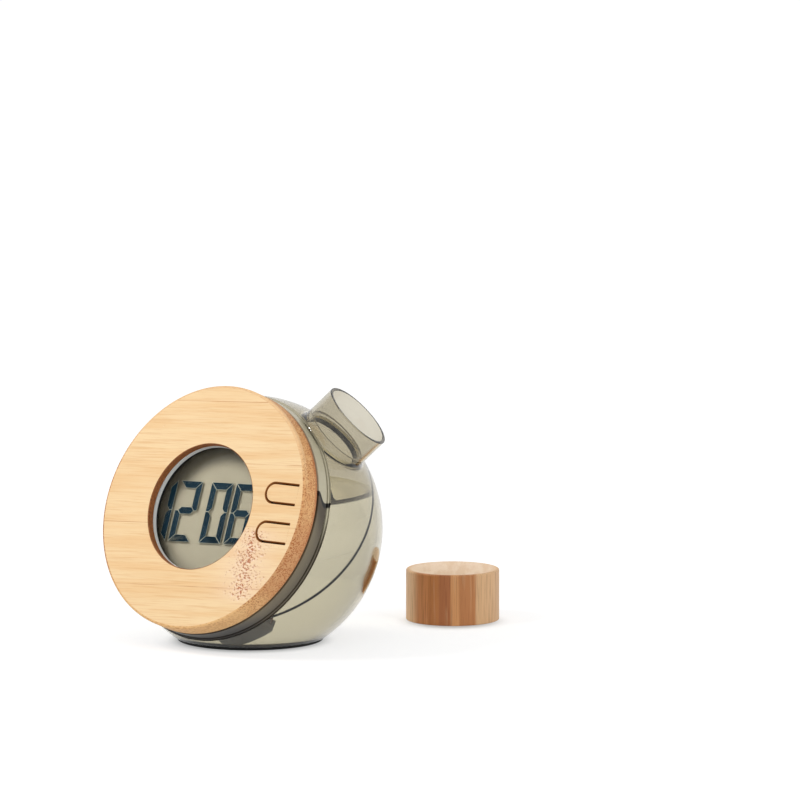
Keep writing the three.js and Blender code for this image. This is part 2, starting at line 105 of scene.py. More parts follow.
# Quads from each closed ring to the next
def joinRings(shape, rings):
    for a, b in zip(rings, rings[1:]):
        for k in range(len(a)):
            m = (k + 1) % len(a)
            addFace(shape, [a[k], a[m], b[m], b[k]], [(0, 0, 1)] * 4)


# Turns a shape, in millimetres of its place, into an object whose place is in its mesh
def makeObject(name, shape, place, materials):
    mesh = bpy.data.meshes.new(name)
    mesh.from_pydata([place @ (Vector(p) * mm) for p in shape["points"]], [], shape["faces"])
    mesh.polygons.foreach_set("material_index", shape["finish"])
    mesh.polygons.foreach_set("use_smooth", [True] * len(mesh.polygons))
    turn = place.to_3x3()
    mesh.normals_split_custom_set([(turn @ Vector(n)).normalized() for n in shape["normals"]])
    for material in materials:
        mesh.materials.append(material)
    return addObject(name, mesh)


# Straight runs and round corners of a profile that runs anticlockwise. A corner is a radius, a height and,
# where it needs them, a fillet and a finish. A run is (start, start normal, end, end normal, finish).
def profileRuns(corners, closed, arcSteps=5):
    count = len(corners)
    cuts = []
    for i, corner in enumerate(corners):
        here = Vector(corner[:2])
        fillet = corner[2] if len(corner) > 2 else 0
        before, after = Vector(corners[i - 1][:2]), Vector(corners[(i + 1) % count][:2])
        if not closed and i in (0, count - 1):
            cuts.append((here, here, None))
            continue
        into, out = (here - before).normalized(), (after - here).normalized()
        turn = math.atan2(into.x * out.y - into.y * out.x, into.dot(out))
        if not fillet or abs(turn) < noTurn:
            cuts.append((here, here, None))
            continue
        trim = fillet * math.tan(abs(turn) / 2)
        normalIn = Vector((into.y, -into.x))
        side = math.copysign(1, turn)
        start = here - into * trim
        centre = start - normalIn * (side * fillet)
        cuts.append((start, here + out * trim, (centre, normalIn, turn, side * fillet)))
    runs = []
    for i in range(count if closed else count - 1):
        start, end = cuts[i][1], cuts[(i + 1) % count][0]
        finish = corners[i][3] if len(corners[i]) > 3 else 0
        along = (end - start).normalized()
        normal = Vector((along.y, -along.x))
        if (end - start).length > noLength:
            runs.append((start, normal, end, normal, finish))
        arc = cuts[(i + 1) % count][2]
        if arc:
            centre, normalIn, turn, reach = arc
            for step in range(arcSteps):
                n0 = Matrix.Rotation(turn * step / arcSteps, 2) @ normalIn
                n1 = Matrix.Rotation(turn * (step + 1) / arcSteps, 2) @ normalIn
                runs.append((centre + n0 * reach, n0, centre + n1 * reach, n1, finish))
    return runs


# A body of revolution about its place's Z
def latheShape(corners, steps=128, closed=None):
    closed = corners[0][0] > 0 if closed is None else closed
    runs = profileRuns(corners, closed)
    shape = emptyShape()
    angles = [allWay * k / steps for k in range(steps)]
    rings = {}

    def ringOf(point):
        key = (round(point.x, 5), round(point.y, 5))
        if key not in rings:
            if point.x < onAxis:
                rings[key] = addPoints(shape, [(0, 0, point.y)]) * steps
            else:
                rings[key] = addPoints(
                    shape, [(point.x * math.cos(a), point.x * math.sin(a), point.y) for a in angles]
                )
        return rings[key]

    for start, startNormal, end, endNormal, finish in runs:
        if start.x < onAxis and end.x < onAxis:
            continue
        low, high = ringOf(start), ringOf(end)
        for k in range(steps):
            k1 = (k + 1) % steps
            quad = [(low[k], k, startNormal), (low[k1], k1, startNormal)]
            quad += [(high[k1], k1, endNormal), (high[k], k, endNormal)]
            if start.x < onAxis:
                quad = quad[1:]
            elif end.x < onAxis:
                quad = quad[:3]
            normals = [(n.x * math.cos(angles[j]), n.x * math.sin(angles[j]), n.y) for _, j, n in quad]
            addFace(shape, [index for index, _, _ in quad], normals, finish)
    return shape


def lathe(name, corners, place, materials, steps=128, closed=None):
    return makeObject(name, latheShape(corners, steps, closed), place, materials)


def boxShape(low, high):
    shape = emptyShape()
    corners = [(x, y, z) for z in (low[2], high[2]) for y in (low[1], high[1]) for x in (low[0], high[0])]
    index = addPoints(shape, corners)
    sides = [
        ((0, 2, 3, 1), (0, 0, -1)), ((4, 5, 7, 6), (0, 0, 1)), ((0, 1, 5, 4), (0, -1, 0)),
        ((2, 6, 7, 3), (0, 1, 0)), ((0, 4, 6, 2), (-1, 0, 0)), ((1, 3, 7, 5), (1, 0, 0)),
    ]
    for side, normal in sides:
        addFace(shape, [index[k] for k in side], [normal] * 4)
    return shape


def boxPiece(name, low, high, place, materials=()):
    return makeObject(name, boxShape(low, high), place, materials)


# Replaces an object's mesh by what its modifiers make of it
def settle(piece):
    graph = bpy.context.evaluated_depsgraph_get()
    made = bpy.data.meshes.new_from_object(piece.evaluated_get(graph), depsgraph=graph)
    made.name = piece.name
    piece.modifiers.clear()
    piece.data = made
    return piece


def combine(piece, other, operation="DIFFERENCE"):
    change = piece.modifiers.new("combine", "BOOLEAN")
    change.operation = operation
    change.solver = "EXACT"
    change.object = other
    settle(piece)
    bpy.data.objects.remove(other)
    return piece


# Joins points that lie together and fills what pinholes the cuts have left
def closeUp(piece):
    shape = bmesh.new()
    shape.from_mesh(piece.data)
    bmesh.ops.remove_doubles(shape, verts=shape.verts, dist=0.002 * mm)
    bmesh.ops.dissolve_degenerate(shape, edges=shape.edges, dist=0.001 * mm)
    bmesh.ops.holes_fill(shape, edges=[edge for edge in shape.edges if edge.is_boundary], sides=0)
    shape.to_mesh(piece.data)
    shape.free()


# Rounds the edges of a piece and leaves its flats flat
def soften(piece, width, segments=3, angle=35):
    bevel = piece.modifiers.new("soften", "BEVEL")
    bevel.width = width * mm
    bevel.segments = segments
    bevel.limit_method = "ANGLE"
    bevel.angle_limit = math.radians(angle)
    bevel.use_clamp_overlap = True
    settle(piece)
    piece.data.polygons.foreach_set("use_smooth", [True] * len(piece.data.polygons))
    weigh = piece.modifiers.new("weigh", "WEIGHTED_NORMAL")
    weigh.keep_sharp = True
    settle(piece)


def finishPiece(piece, body, slotName, *nodes):
    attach(piece, body)
    if nodes:
        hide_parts(*nodes)


# Triangles between an outer outline and the holes in it, all given by points that the shape holds
def fillBetween(shape, outer, holes, up, finish=0):
    loops = [outer, *holes]
    flat, edges, owner = [], [], []
    for loop in loops:
        first = len(flat)
        flat.extend(Vector(shape["points"][i][:2]) for i in loop)
        owner.extend(loop)
        edges.extend((first + k, first + (k + 1) % len(loop)) for k in range(len(loop)))
    points, _, triangles, origins, _, _ = delaunay_2d_cdt(flat, edges, [], 0, 1e-7)
    outlines = [[Vector(shape["points"][i][:2]) for i in loop] for loop in loops]
    for triangle in triangles:
        middle = sum((points[i] for i in triangle), Vector((0, 0))) / 3
        if not inside(middle, outlines[0]) or any(inside(middle, hole) for hole in outlines[1:]):
            continue
        corners = [owner[origins[i][0]] for i in triangle]
        a, b, c = (points[i] for i in triangle)
        anticlockwise = (b - a).cross(c - a) > 0
        if anticlockwise != (up > 0):
            corners.reverse()
        addFace(shape, corners, [(0, 0, up)] * 3, finish)


def inside(point, outline):
    found = False
    for a, b in zip(outline, outline[1:] + outline[:1]):
        if (a.y > point.y) != (b.y > point.y):
            if point.x < a.x + (point.y - a.y) * (b.x - a.x) / (b.y - a.y):
                found = not found
    return found


# Material tools


# A new material, with its object coordinates in the millimetres of a place
def newMaterial(name, place=Matrix.Identity(4)):
    material = bpy.data.materials.new(name)
    material.use_nodes = True
    material.node_tree.nodes.clear()
    return material, placed(material, place)


def isSocket(value):
    return isinstance(value, bpy.types.NodeSocket)


# Adds a node to the tree of a material, or to that of a socket
def addNode(owner, kind, inputs=None, **settings):
    tree = owner.id_data if isSocket(owner) else owner.node_tree
    made = tree.nodes.new(kind)
    for key, value in settings.items():
        setattr(made, key, value)
    for key, value in (inputs or {}).items():
        if isSocket(value):
            tree.links.new(value, made.inputs[key])
        else:
            made.inputs[key].default_value = value
    return made


def calc(operation, *values):
    owner = next(value for value in values if isSocket(value))
    return addNode(owner, "ShaderNodeMath", dict(enumerate(values)), operation=operation).outputs[0]


def times(a, b):
    return calc("MULTIPLY", a, b)


def minus(a, b):
    return calc("SUBTRACT", a, b)


def scaled(value, factor, base):
    return calc("MULTIPLY_ADD", value, factor, base)


def axisOf(vector, axis):
    return addNode(vector, "ShaderNodeSeparateXYZ", {0: vector}).outputs[axis]


# How far a point lies from a place, from the origin or along a direction
def vectorCalc(operation, *vectors):
    made = addNode(vectors[0], "ShaderNodeVectorMath", dict(enumerate(vectors)), operation=operation)
    return made.outputs["Value"]


def flattened(vector):
    return addNode(vector, "ShaderNodeMapping", {"Vector": vector, "Scale": (1, 1, 0)}).outputs[0]


# Colours are written as they look on a screen, from 0 to 255
def screenColour(red, green, blue):
    return tuple(
        (c / 255 / 12.92 if c <= 10.31 else ((c / 255 + 0.055) / 1.055) ** 2.4) for c in (red, green, blue)
    ) + (1.0,)


def screenColours(colours):
    return {name: screenColour(*colour) for name, colour in colours.items()}


def darker(colour, share):
    return tuple(c * share for c in colour[:3]) + (1.0,)


def blendColour(factor, a, b):
    return addNode(factor, "ShaderNodeMix", {0: factor, 6: a, 7: b}, data_type="RGBA").outputs[2]


# Lays a tone over a colour where a pattern is, up to a share
def laid(colour, tone, pattern, share):
    return blendColour(times(pattern, share), colour, tone)


# 0 where the value is at the first end of a span, 1 at the second, with a soft way between
def ramp(value, first, second):
    return addNode(value, "ShaderNodeMapRange", {
        "Value": value, "From Min": first, "From Max": second,
    }, interpolation_type="SMOOTHSTEP").outputs[0]


# Object coordinates in the millimetres of a place
def placed(material, place=Matrix.Identity(4)):
    back = place.inverted()
    coordinates = addNode(material, "ShaderNodeTexCoord")
    return addNode(material, "ShaderNodeMapping", {
        "Vector": coordinates.outputs["Object"],
        "Location": back.translation / mm,
        "Rotation": back.to_euler(),
        "Scale": (1 / mm,) * 3,
    }).outputs[0]


def stretched(vector, scale, turn=0.0):
    return addNode(vector, "ShaderNodeMapping", {
        "Vector": vector, "Scale": scale, "Rotation": (0, 0, math.radians(turn)),
    }).outputs[0]


def noise(vector, scale=1.0, detail=2.0, roughness=0.5, distortion=0.0):
    return addNode(vector, "ShaderNodeTexNoise", {
        "Vector": vector, "Scale": scale, "Detail": detail, "Roughness": roughness,
        "Distortion": distortion,
    }).outputs[0]


# Noise drawn out along the axes whose scale is small
def streaky(vector, scale, detail=2, roughness=0.5):
    return noise(stretched(vector, scale), 1, detail, roughness)


def bumped(height, depth):
    return addNode(height, "ShaderNodeBump", {
        "Height": height, "Distance": depth * mm, "Strength": 1.0,
    }).outputs[0]


# The end of most materials: a pattern sets the roughness, as a factor and a base, and the relief
def surfaced(material, colour, pattern, roughness, specular, depth, relief=None, others=None):
    shader = addNode(material, "ShaderNodeBsdfPrincipled", {
        "Base Color": colour, "Roughness": scaled(pattern, *roughness), "Specular IOR Level": specular,
        "Normal": bumped(pattern if relief is None else relief, depth), **(others or {}),
    })
    addNode(material, "ShaderNodeOutputMaterial", {"Surface": shader.outputs[0]})
    return material


# Moulded plastic, rubber, resin: a fine mottle in the colour, a fine grain in the surface
def mouldedMaterial(name, colour, roughness, grain=6.0, mottle=0.06, depth=0.01, specular=0.5):
    material, here = newMaterial(name)
    cloud, fine = noise(here, 0.35, 3), noise(here, grain, 2)
    mottled = blendColour(cloud, darker(colour, 1 - mottle * 2), colour)
    return surfaced(material, mottled, fine, (roughness * 0.3, roughness * 0.85), specular, depth)


def metalMaterial(name, colour, roughness, tarnish, brush=(0.3, 9.0, 0.3)):
    material, here = newMaterial(name, headPlace)
    patches = ramp(noise(here, 0.22, 4, 0.6), 0.45, 0.72)
    return surfaced(material, laid(colour, tarnish, patches, 0.6), patches, (0.2, roughness),
                    specular=0.5, depth=0.006, relief=streaky(here, brush, 3), others={"Metallic": 1.0})


# Bamboo

# A span says where a pattern, or a height on the disc, starts to show and where it shows in full
bamboo = {
    **screenColours({
        "pale": (249, 217, 168), "deep": (241, 198, 142), "streak": (222, 168, 108), "seam": (196, 128, 72),
        "burnt": (182, 122, 66), "paintedSlotGlow": (84, 50, 20), "wall": (172, 108, 64),
    }),
    "roughness": 0.5, "pitDepth": 1.5, "grainTurn": -3.6, "stripWidth": 22.8, "stripEdge": -6.6,
    "stripShare": 0.22, "seamWidth": 0.2, "seamFade": (0.05, 0.03, 0.03), "fadeSpan": (0.42, 0.6),
    "cutLayers": (0.5, 0.5, 1.6),
}
bamboo["grains"] = [  # clouds, lines and hairs: scale, detail and roughness, then span, then share
    (((0.018, 0.3, 0.3), 3, 0.5), (0.34, 0.7), 0.8),
    (((0.05, 1.5, 1.5), 3, 0.55), (0.5, 0.68), 0.34),
    (((0.09, 3.2, 3.2), 2, 0.6), (0.52, 0.7), 0.26),
]
joint = {
    **screenColours({"dot": (186, 106, 58), "blushAndGleam": (255, 226, 202)}), "x": 25.4, "wander": 7.0,
    "wave": (0.02, 0.11, 0.02), "spread": 11.0, "core": 0.42, "lowSpan": (-35.5, -29.5),
    "highSpan": (-4.0, -7.5), "pitScale": (0.8, 1.1, 1.0), "pitTurn": 14, "pitSize": 1.4, "pitSoft": 0.05,
    "pitLevel": 0.76, "gleamShift": (0.35, 0.55, 0), "blushShare": 0.35, "gleamShare": 0.7,
}
boardRim = {
    **screenColours({
        "pale": (228, 180, 124), "deep": (212, 154, 100), "scorch": (156, 86, 54), "dot": (166, 92, 44),
        "front": (240, 200, 150), "middle": (190, 132, 90), "bottom": (250, 206, 144),
    }),
    "backBand": 3.0, "backFull": 0.6, "frontBand": 1.9,
    "scorchAndShadeSpan": (-32, 8), "middleLow": (-32, -22), "middleHigh": (6, -8), "middleShare": 0.5,
    "bottomSpan": (-27, -39), "bottomShare": 0.6, "frontSpan": (8, 30), "frontShare": 0.85,
    "cellScale": (0.4, 1.0, 0.8), "cellSize": 1.9, "cellSpan": (0.56, 0.3), "crowd": (0.12, 0.12, 0.12),
    "crowdSpan": (0.35, 0.62),
}


# Clouds, lines and hairs shared by the face and the rim of the board
def bambooLook(here, pale, deep, streak):
    grain = stretched(here, (1, 1, 1), bamboo["grainTurn"])
    colour = pale
    for tone, (pattern, span, share) in zip((deep, streak, streak), bamboo["grains"]):
        fine = streaky(grain, *pattern)
        colour = laid(colour, tone, ramp(fine, *span), share)
    return grain, colour, fine


def bambooFace():
    material, here = newMaterial("bamboo face", headPlace)
    grain, colour, fine = bambooLook(here, bamboo["pale"], bamboo["deep"], bamboo["streak"])
    strip = calc("DIVIDE", minus(axisOf(grain, "Y"), bamboo["stripEdge"]), bamboo["stripWidth"])
    number = calc("FLOOR", strip)
    tone = addNode(number, "ShaderNodeTexWhiteNoise", {"W": number}, noise_dimensions="1D").outputs[0]
    colour = laid(colour, bamboo["deep"], tone, bamboo["stripShare"])
    fromMiddle = calc("ABSOLUTE", minus(calc("FRACT", strip), 0.5))
    seam = ramp(fromMiddle, 0.5 - bamboo["seamWidth"] / bamboo["stripWidth"], 0.5)
    fade = ramp(streaky(here, bamboo["seamFade"]), *bamboo["fadeSpan"])
    colour = blendColour(times(seam, scaled(fade, 0.6, 0.2)), colour, bamboo["seam"])
    colour, pits = jointPatch(here, colour)
    relief = minus(fine, times(pits, bamboo["pitDepth"]))
    return surfaced(material, colour, fine, (0.18, bamboo["roughness"] - 0.09),
                    specular=0.35, depth=0.03, relief=relief)


# The speckled band where a bamboo's joint crosses the strip: short dark pits, each with a painted highlight
# at its lower edge
def jointPatch(here, colour):
    x, y = axisOf(here, "X"), axisOf(here, "Y")
    middle = scaled(streaky(here, joint["wave"]), joint["wander"], joint["x"] - joint["wander"] / 2)
    away = minus(x, middle)
    ends = times(ramp(y, *joint["lowSpan"]), ramp(y, *joint["highSpan"]))

    def within(spread):
        off = calc("DIVIDE", away, spread)
        return times(calc("EXPONENT", times(times(off, off), -1.0)), ends)

    def pits(shift, level):
        moved = addNode(here, "ShaderNodeMapping", {"Vector": here, "Location": shift}).outputs[0]
        turned = stretched(moved, joint["pitScale"], joint["pitTurn"])
        speckle = noise(turned, joint["pitSize"], 2, 0.55, distortion=0.5)
        return ramp(minus(speckle, level), 0.0, joint["pitSoft"])

    near, wide = within(joint["spread"] * joint["core"]), within(joint["spread"])
    level = scaled(near, -0.05, scaled(wide, -0.2, joint["pitLevel"]))
    dots, gleam = pits((0, 0, 0), level), pits(joint["gleamShift"], level)
    colour = laid(colour, joint["blushAndGleam"], wide, joint["blushShare"])
    # Painted highlight beside each pit
    colour = laid(colour, joint["blushAndGleam"], gleam, joint["gleamShare"])
    return laid(colour, joint["dot"], dots, scaled(near, 0.45, 0.45)), dots


# The board's edge: cut fibres show as dots. The back of the edge is scorched a little and darkened with
# painted shade, most towards the top, and a paler band at the front edge of the upper part is a painted
# highlight. The edge is also darker a little below the middle and lighter towards the bottom.
def bambooRim():
    material, here = newMaterial("bamboo rim", headPlace)
    grain, colour, fine = bambooLook(here, boardRim["pale"], boardRim["deep"], boardRim["deep"])
    height, level = axisOf(here, "Y"), axisOf(here, "Z")
    back, front = panelLevels["back"], panelLevels["front"] - boardRim["frontBand"]
    # Scorch and painted shade at the back of the edge
    scorch = ramp(level, back + boardRim["backBand"], back + boardRim["backFull"])
    scorch = times(scorch, scaled(ramp(height, *boardRim["scorchAndShadeSpan"]), 0.6, 0.15))
    colour = blendColour(scorch, colour, boardRim["scorch"])
    middle = times(ramp(height, *boardRim["middleLow"]), ramp(height, *boardRim["middleHigh"]))
    colour = laid(colour, boardRim["middle"], middle, boardRim["middleShare"])
    bottom = times(ramp(height, *boardRim["bottomSpan"]), boardRim["bottomShare"])
    colour = blendColour(bottom, colour, boardRim["bottom"])
    # Painted highlight: a paler band at the front edge, on the upper part
    pale = ramp(calc("ADD", scaled(fine, 0.8, -0.4), level), front - 0.2, front + 0.3)
    pale = times(pale, ramp(height, *boardRim["frontSpan"]))
    colour = laid(colour, boardRim["front"], pale, boardRim["frontShare"])
    cells = addNode(material, "ShaderNodeTexVoronoi", {
        "Vector": stretched(grain, boardRim["cellScale"]), "Scale": boardRim["cellSize"], "Randomness": 1.0,
    }).outputs["Distance"]
    plain = calc("MAXIMUM", times(pale, 0.8), bottom)
    dots = times(ramp(cells, *boardRim["cellSpan"]), minus(1.0, plain))
    crowd = scaled(ramp(streaky(here, boardRim["crowd"]), *boardRim["crowdSpan"]), 0.4, 0.55)
    colour = laid(colour, boardRim["dot"], dots, crowd)
    return surfaced(material, colour, fine, (0.2, bamboo["roughness"]),
                    specular=0.3, depth=0.04, relief=minus(fine, dots))


# Cut by a hot tool: the walls of the slots and of the window. The slots' walls also get a painted glow,
# which lifts them out of their shade.
def bambooCut(name, colour, scorch, paintedGlowStrength=0.0, grain=1.0):
    material, here = newMaterial(name, headPlace)
    layers = ramp(noise(stretched(here, bamboo["cutLayers"]), grain, 3), 0.3, 0.7)
    mixed = blendColour(layers, darker(colour, scorch), colour)
    # Painted glow, where little light reaches into a deep slot
    glow = {"Emission Color": bamboo["paintedSlotGlow"], "Emission Strength": paintedGlowStrength}
    return surfaced(material, mixed, layers, (0.2, 0.55), specular=0.3, depth=0.05, others=glow)


panelLow, panelHigh = boxIn("front_panel")
panelLevels = {"back": panelLow.z, "front": panelHigh.z}
bambooMaterials = [
    bambooFace(), bambooRim(), bambooCut("scorched slot", bamboo["burnt"], scorch=0.6, paintedGlowStrength=0.55),
    bambooCut("sawn window wall", bamboo["wall"], scorch=0.45, grain=2.6),
]
faceFinish, rimFinish, slotFinish, windowFinish = range(4)
print("bamboo ready")

# Face panel and its two buttons

panel = {
    "radius": 45.0, "frontFillet": 0.9, "backFillet": 1.3, "windowRadius": 23.1, "windowShift": -1.1,
    "windowFillet": 0.3, "web": 2.8, "pocketRadius": 42.95, "steps": 240, "windowSteps": 144,
    "filletSteps": 5,
}
button = {
    "half": 3.2, "slot": 0.8, "bend": 30.5, "root": 41.1, "fillet": 0.22, "middle": 0.85, "pitch": 14.3,
    "bossRadius": 1.4, "bossLength": 2.4, "bossRound": 0.3, "endSteps": 28, "cornerSteps": 6,
    "rootGap": 0.02, "backGap": 0.14, "scorchedRings": 4,
}
panel.update(panelLevels, webBack=panelLevels["front"] - panel["web"])
quarterTurns = [math.pi / 2 * k / panel["filletSteps"] for k in range(panel["filletSteps"] + 1)]
buttonHeights = {
    "upper": button["middle"] + button["pitch"] / 2, "lower": button["middle"] - button["pitch"] / 2,
}


# A ring of points and their normals, for the wall of a disc or, with outward at -1, of a hole
def circleLevel(radius, x, z, steps, outward, up=0.0):
    side = math.sqrt(max(0.0, 1 - up * up)) * outward
    circle = [(math.cos(allWay * k / steps), math.sin(allWay * k / steps)) for k in range(steps)]
    points = [(x + radius * c, radius * s, z) for c, s in circle]
    return points, [(side * c, side * s, up) for c, s in circle]


# Walls of quads between levels of points and normals, from the back to the front. The rings run
# anticlockwise and the walls look outwards, or inwards for a hole. Gives the rings.
def stackWalls(shape, levels, finishes, hole=False, closed=True):
    rings = [addPoints(shape, points) for points, _ in levels]
    for k, finish in enumerate(finishes):
        (low, high), (lowNormals, highNormals) = rings[k:k + 2], (levels[k][1], levels[k + 1][1])
        for j in range(len(low) if closed else len(low) - 1):
            m = (j + 1) % len(low)
            corners = [low[j], low[m], high[m], high[j]]
            normals = [lowNormals[j], lowNormals[m], highNormals[m], highNormals[j]]
            if hole:
                corners.reverse()
                normals.reverse()
            addFace(shape, corners, normals, finish)
    return rings


# Outline of a button, or of the opening round it: the root edge comes first, then the round free end.
# Points are (x, y, nx, ny), where the normal looks into the slot. The gap is a button's at its root.
def tongueOutline(height, grow, opening, gap):
    half, root = button["half"], button["root"]
    endRadius = button["slot"] / 2
    side = 1 if opening else -1
    reach = half + (button["slot"] + grow if opening else -grow)
    cornerRadius = endRadius + grow
    rootX = root if opening else root - gap
    cornerX, cornerY = root - endRadius, half + endRadius
    first = math.acos(min(1.0, (rootX - cornerX) / cornerRadius))
    points = []
    for k in range(button["cornerSteps"] + 1):
        a = (first + (math.pi / 2 - first) * k / button["cornerSteps"]) * side
        points.append((cornerX + cornerRadius * math.cos(a), cornerY + cornerRadius * math.sin(a),
                       -math.cos(a), -math.sin(a)))
    for k in range(button["endSteps"] + 1):
        a = math.pi / 2 + math.pi * k / button["endSteps"]
        points.append((button["bend"] + reach * math.cos(a), reach * math.sin(a),
                       -side * math.cos(a), -side * math.sin(a)))
    for k in range(button["cornerSteps"], -1, -1):
        x, y, nx, ny = points[k]
        points.append((x, -y, nx, -ny))
    return [(x, y + height, nx, ny) for x, y, nx, ny in points]


# The wall round a tongue or its opening, with a small round at the front edge. Gives the ring at the front
# face and the ring at the back. A button's root leans away at the back, where it turns towards the board.
def tongueWall(shape, height, opening):
    fillet = button["fillet"]
    outlines = [(panel["webBack"], 0.0, tongueOutline(height, 0, opening, button["backGap"]))]
    for turn in quarterTurns:
        outline = tongueOutline(height, fillet * (1 - math.cos(turn)), opening, button["rootGap"])
        outlines.append((panel["front"] - fillet + fillet * math.sin(turn), math.sin(turn), outline))
    levels = []
    for z, up, outline in outlines:
        flat = math.sqrt(max(0.0, 1 - up * up))
        levels.append(([(x, y, z) for x, y, _, _ in outline],
                       [(nx * flat, ny * flat, up) for _, _, nx, ny in outline]))
    finishes = [slotFinish] * button["scorchedRings"]
    finishes += [faceFinish] * (len(levels) - 1 - len(finishes))
    rings = stackWalls(shape, levels, finishes, opening, closed=False)
    rootNormal = (-1, 0, 0) if opening else (1, 0, 0)
    for low, high in zip(rings, rings[1:]):
        rootFace = [low[0], high[0], high[-1], low[-1]]
        addFace(shape, rootFace[::-1] if opening else rootFace, [rootNormal] * 4, slotFinish)
    return rings[-1], rings[0]


def makePanel():
    shape, outside = emptyShape(), []
    radius, steps, windowSteps = panel["radius"], panel["steps"], panel["windowSteps"]
    for side, edge, turns in ((-1, "back", quarterTurns[::-1]), (1, "front", quarterTurns)):
        fillet = panel[edge + "Fillet"]
        for turn in turns:
            inset, depth = fillet * (1 - math.cos(turn)), fillet * (1 - math.sin(turn))
            z, up = panel[edge] - side * depth, side * math.sin(turn)
            outside.append(circleLevel(radius - inset, 0, z, steps, 1, up))
    rings = stackWalls(shape, outside, [rimFinish] * (len(outside) - 1))
    fillet = panel["windowFillet"]
    window = [(panel["windowRadius"], panel["webBack"], 0.0)]
    window += [(panel["windowRadius"] + fillet * (1 - math.cos(turn)),
                panel["front"] - fillet * (1 - math.sin(turn)), math.sin(turn)) for turn in quarterTurns]
    window = [circleLevel(r, panel["windowShift"], z, windowSteps, -1, up) for r, z, up in window]
    view = stackWalls(shape, window, [windowFinish] * (len(window) - 1), hole=True)
    fronts, backs = [view[-1]], [view[0]]
    for height in buttonHeights.values():
        front, back = tongueWall(shape, height, True)
        fronts.append(front)
        backs.append(back)
    fillBetween(shape, rings[-1], fronts, 1, faceFinish)
    pocket = [circleLevel(panel["pocketRadius"], 0, panel[level], windowSteps, -1)
              for level in ("back", "webBack")]
    pocketLow, pocketTop = stackWalls(shape, pocket, [rimFinish], hole=True)
    fillBetween(shape, pocketTop, backs, -1, rimFinish)
    fillBetween(shape, rings[0], [pocketLow], -1, rimFinish)
    made = makeObject("bamboo_face", shape, headPlace, bambooMaterials)
    finishPiece(made, "root", "bamboo", "front_panel")


def makeButton(place):
    shape = emptyShape()
    height = buttonHeights[place]
    front, back = tongueWall(shape, height, False)
    fillBetween(shape, front, [], 1, faceFinish)
    fillBetween(shape, back, [], -1, rimFinish)
    radius, tip = button["bossRadius"], panel["webBack"] - button["bossLength"]
    root = panel["webBack"] + panel["web"] / 2
    boss = latheShape([(0, tip), (radius, tip, button["bossRound"]), (radius, root), (0, root)], 32)
    first = len(shape["points"])
    shape["points"].extend((x + button["bend"], y + height, z) for x, y, z in boss["points"])
    shape["faces"].extend([[i + first for i in face] for face in boss["faces"]])
    shape["normals"].extend(boss["normals"])
    shape["finish"].extend([rimFinish] * len(boss["faces"]))
    made = makeObject("bamboo_button_" + place, shape, headPlace, bambooMaterials)
    finishPiece(made, "button_" + place, "bamboo", "button_" + place)


makePanel()
for place in buttonHeights:
    makeButton(place)
print("face panel and buttons made")

# Display: white holder, black gasket, glass cell with its digits

display = {
    "window": panel["windowRadius"], "shift": panel["windowShift"], "holderPlate": 1.7, "holderWall": 1.5,
    "gap": 0.3, "glass": 0.95, "glassGap": 0.01, "relief": 0.12, "barThickness": 0.06, "earRadius": 2.6,
    "earInset": 0.02, "pilot": 1.3, "earX": 12.0, "earDepth": 5.4, "gasketInset": 0.3, "edge": 0.12,
    **screenColours({"film": (166, 157, 136), "ink": (20, 50, 64), "halo": (206, 208, 188)}),
    "filmEdge": 0.15, "cover": (0.98, 0.99, 0.97, 1.0), "windowSteps": 144, "earSteps": 32, "pilotSteps": 24,
    "weld": 0.001,
    "shadeX": 2.2, "shadeY": -2.3, "shadeStart": 17.5, "shadeEnd": 26.0, "shadeDepth": 0.8,
}
digit = {
    "width": 9.95, "height": 22.6, "pitch": 11.3, "stroke": 2.7, "gap": 0.24, "halo": 0.09, "colonX": -5.2,
    "colonSpace": 4.8, "pairShift": -0.75, "middle": -0.6, "waist": 0.35, "lean": 0.035, "turn": 2.7,
}
past = 1.0  # how far a cutter reaches past the piece it cuts
whitePlastic = mouldedMaterial("white plastic", screenColour(236, 238, 236), roughness=0.4)
blackRubber = mouldedMaterial("black rubber", screenColour(26, 26, 27), roughness=0.7, mottle=0.1,
                              specular=0.3)


def drumPiece(name, radius, low, high, x=0.0, y=0.0, steps=96):
    here = headPlace @ Matrix.Translation((x * mm, y * mm, 0))
    return lathe(name, [(0, low), (radius, low), (radius, high), (0, high)], here, [], steps)


def makeHolder():
    low, high = boxIn("display_holder")
    outer = boxIn("display_cell")[1].x - display["shift"] + display["gap"] + display["holderWall"]
    inner = outer - display["holderWall"]
    shift, bottom, top = display["shift"], low.z, high.z
    plateBack = top - display["holderPlate"]
    box = (shift - outer, -outer, bottom), (shift + outer, outer, top)
    holder = boxPiece("white_frame", *box, headPlace)
    ears = [(x, y) for x in (-display["earX"], display["earX"]) for y in (low.y, high.y)]
    ears = [(x, y - math.copysign(display["earRadius"], y)) for x, y in ears]
    inset = display["earInset"]
    for x, y in ears:
        ear = (bottom + inset, plateBack - inset, x, y, display["earSteps"])
        combine(holder, drumPiece("ear", display["earRadius"], *ear), "UNION")
    pocket = (shift - inner, -inner, bottom - past), (shift + inner, inner, plateBack)
    combine(holder, boxPiece("pocket", *pocket, headPlace))
    view = (bottom, top + past, shift, 0, display["windowSteps"])
    combine(holder, drumPiece("view", display["window"], *view))
    for x, y in ears:
        depth = bottom + display["earDepth"]
        pilot = (bottom - past, depth, x, y, display["pilotSteps"])
        combine(holder, drumPiece("pilot", display["pilot"], *pilot))
    closeUp(holder)
    holder.data.materials.append(whitePlastic)
    soften(holder, display["edge"], 2)
    finishPiece(holder, "root", "white_plastic", "display_holder")


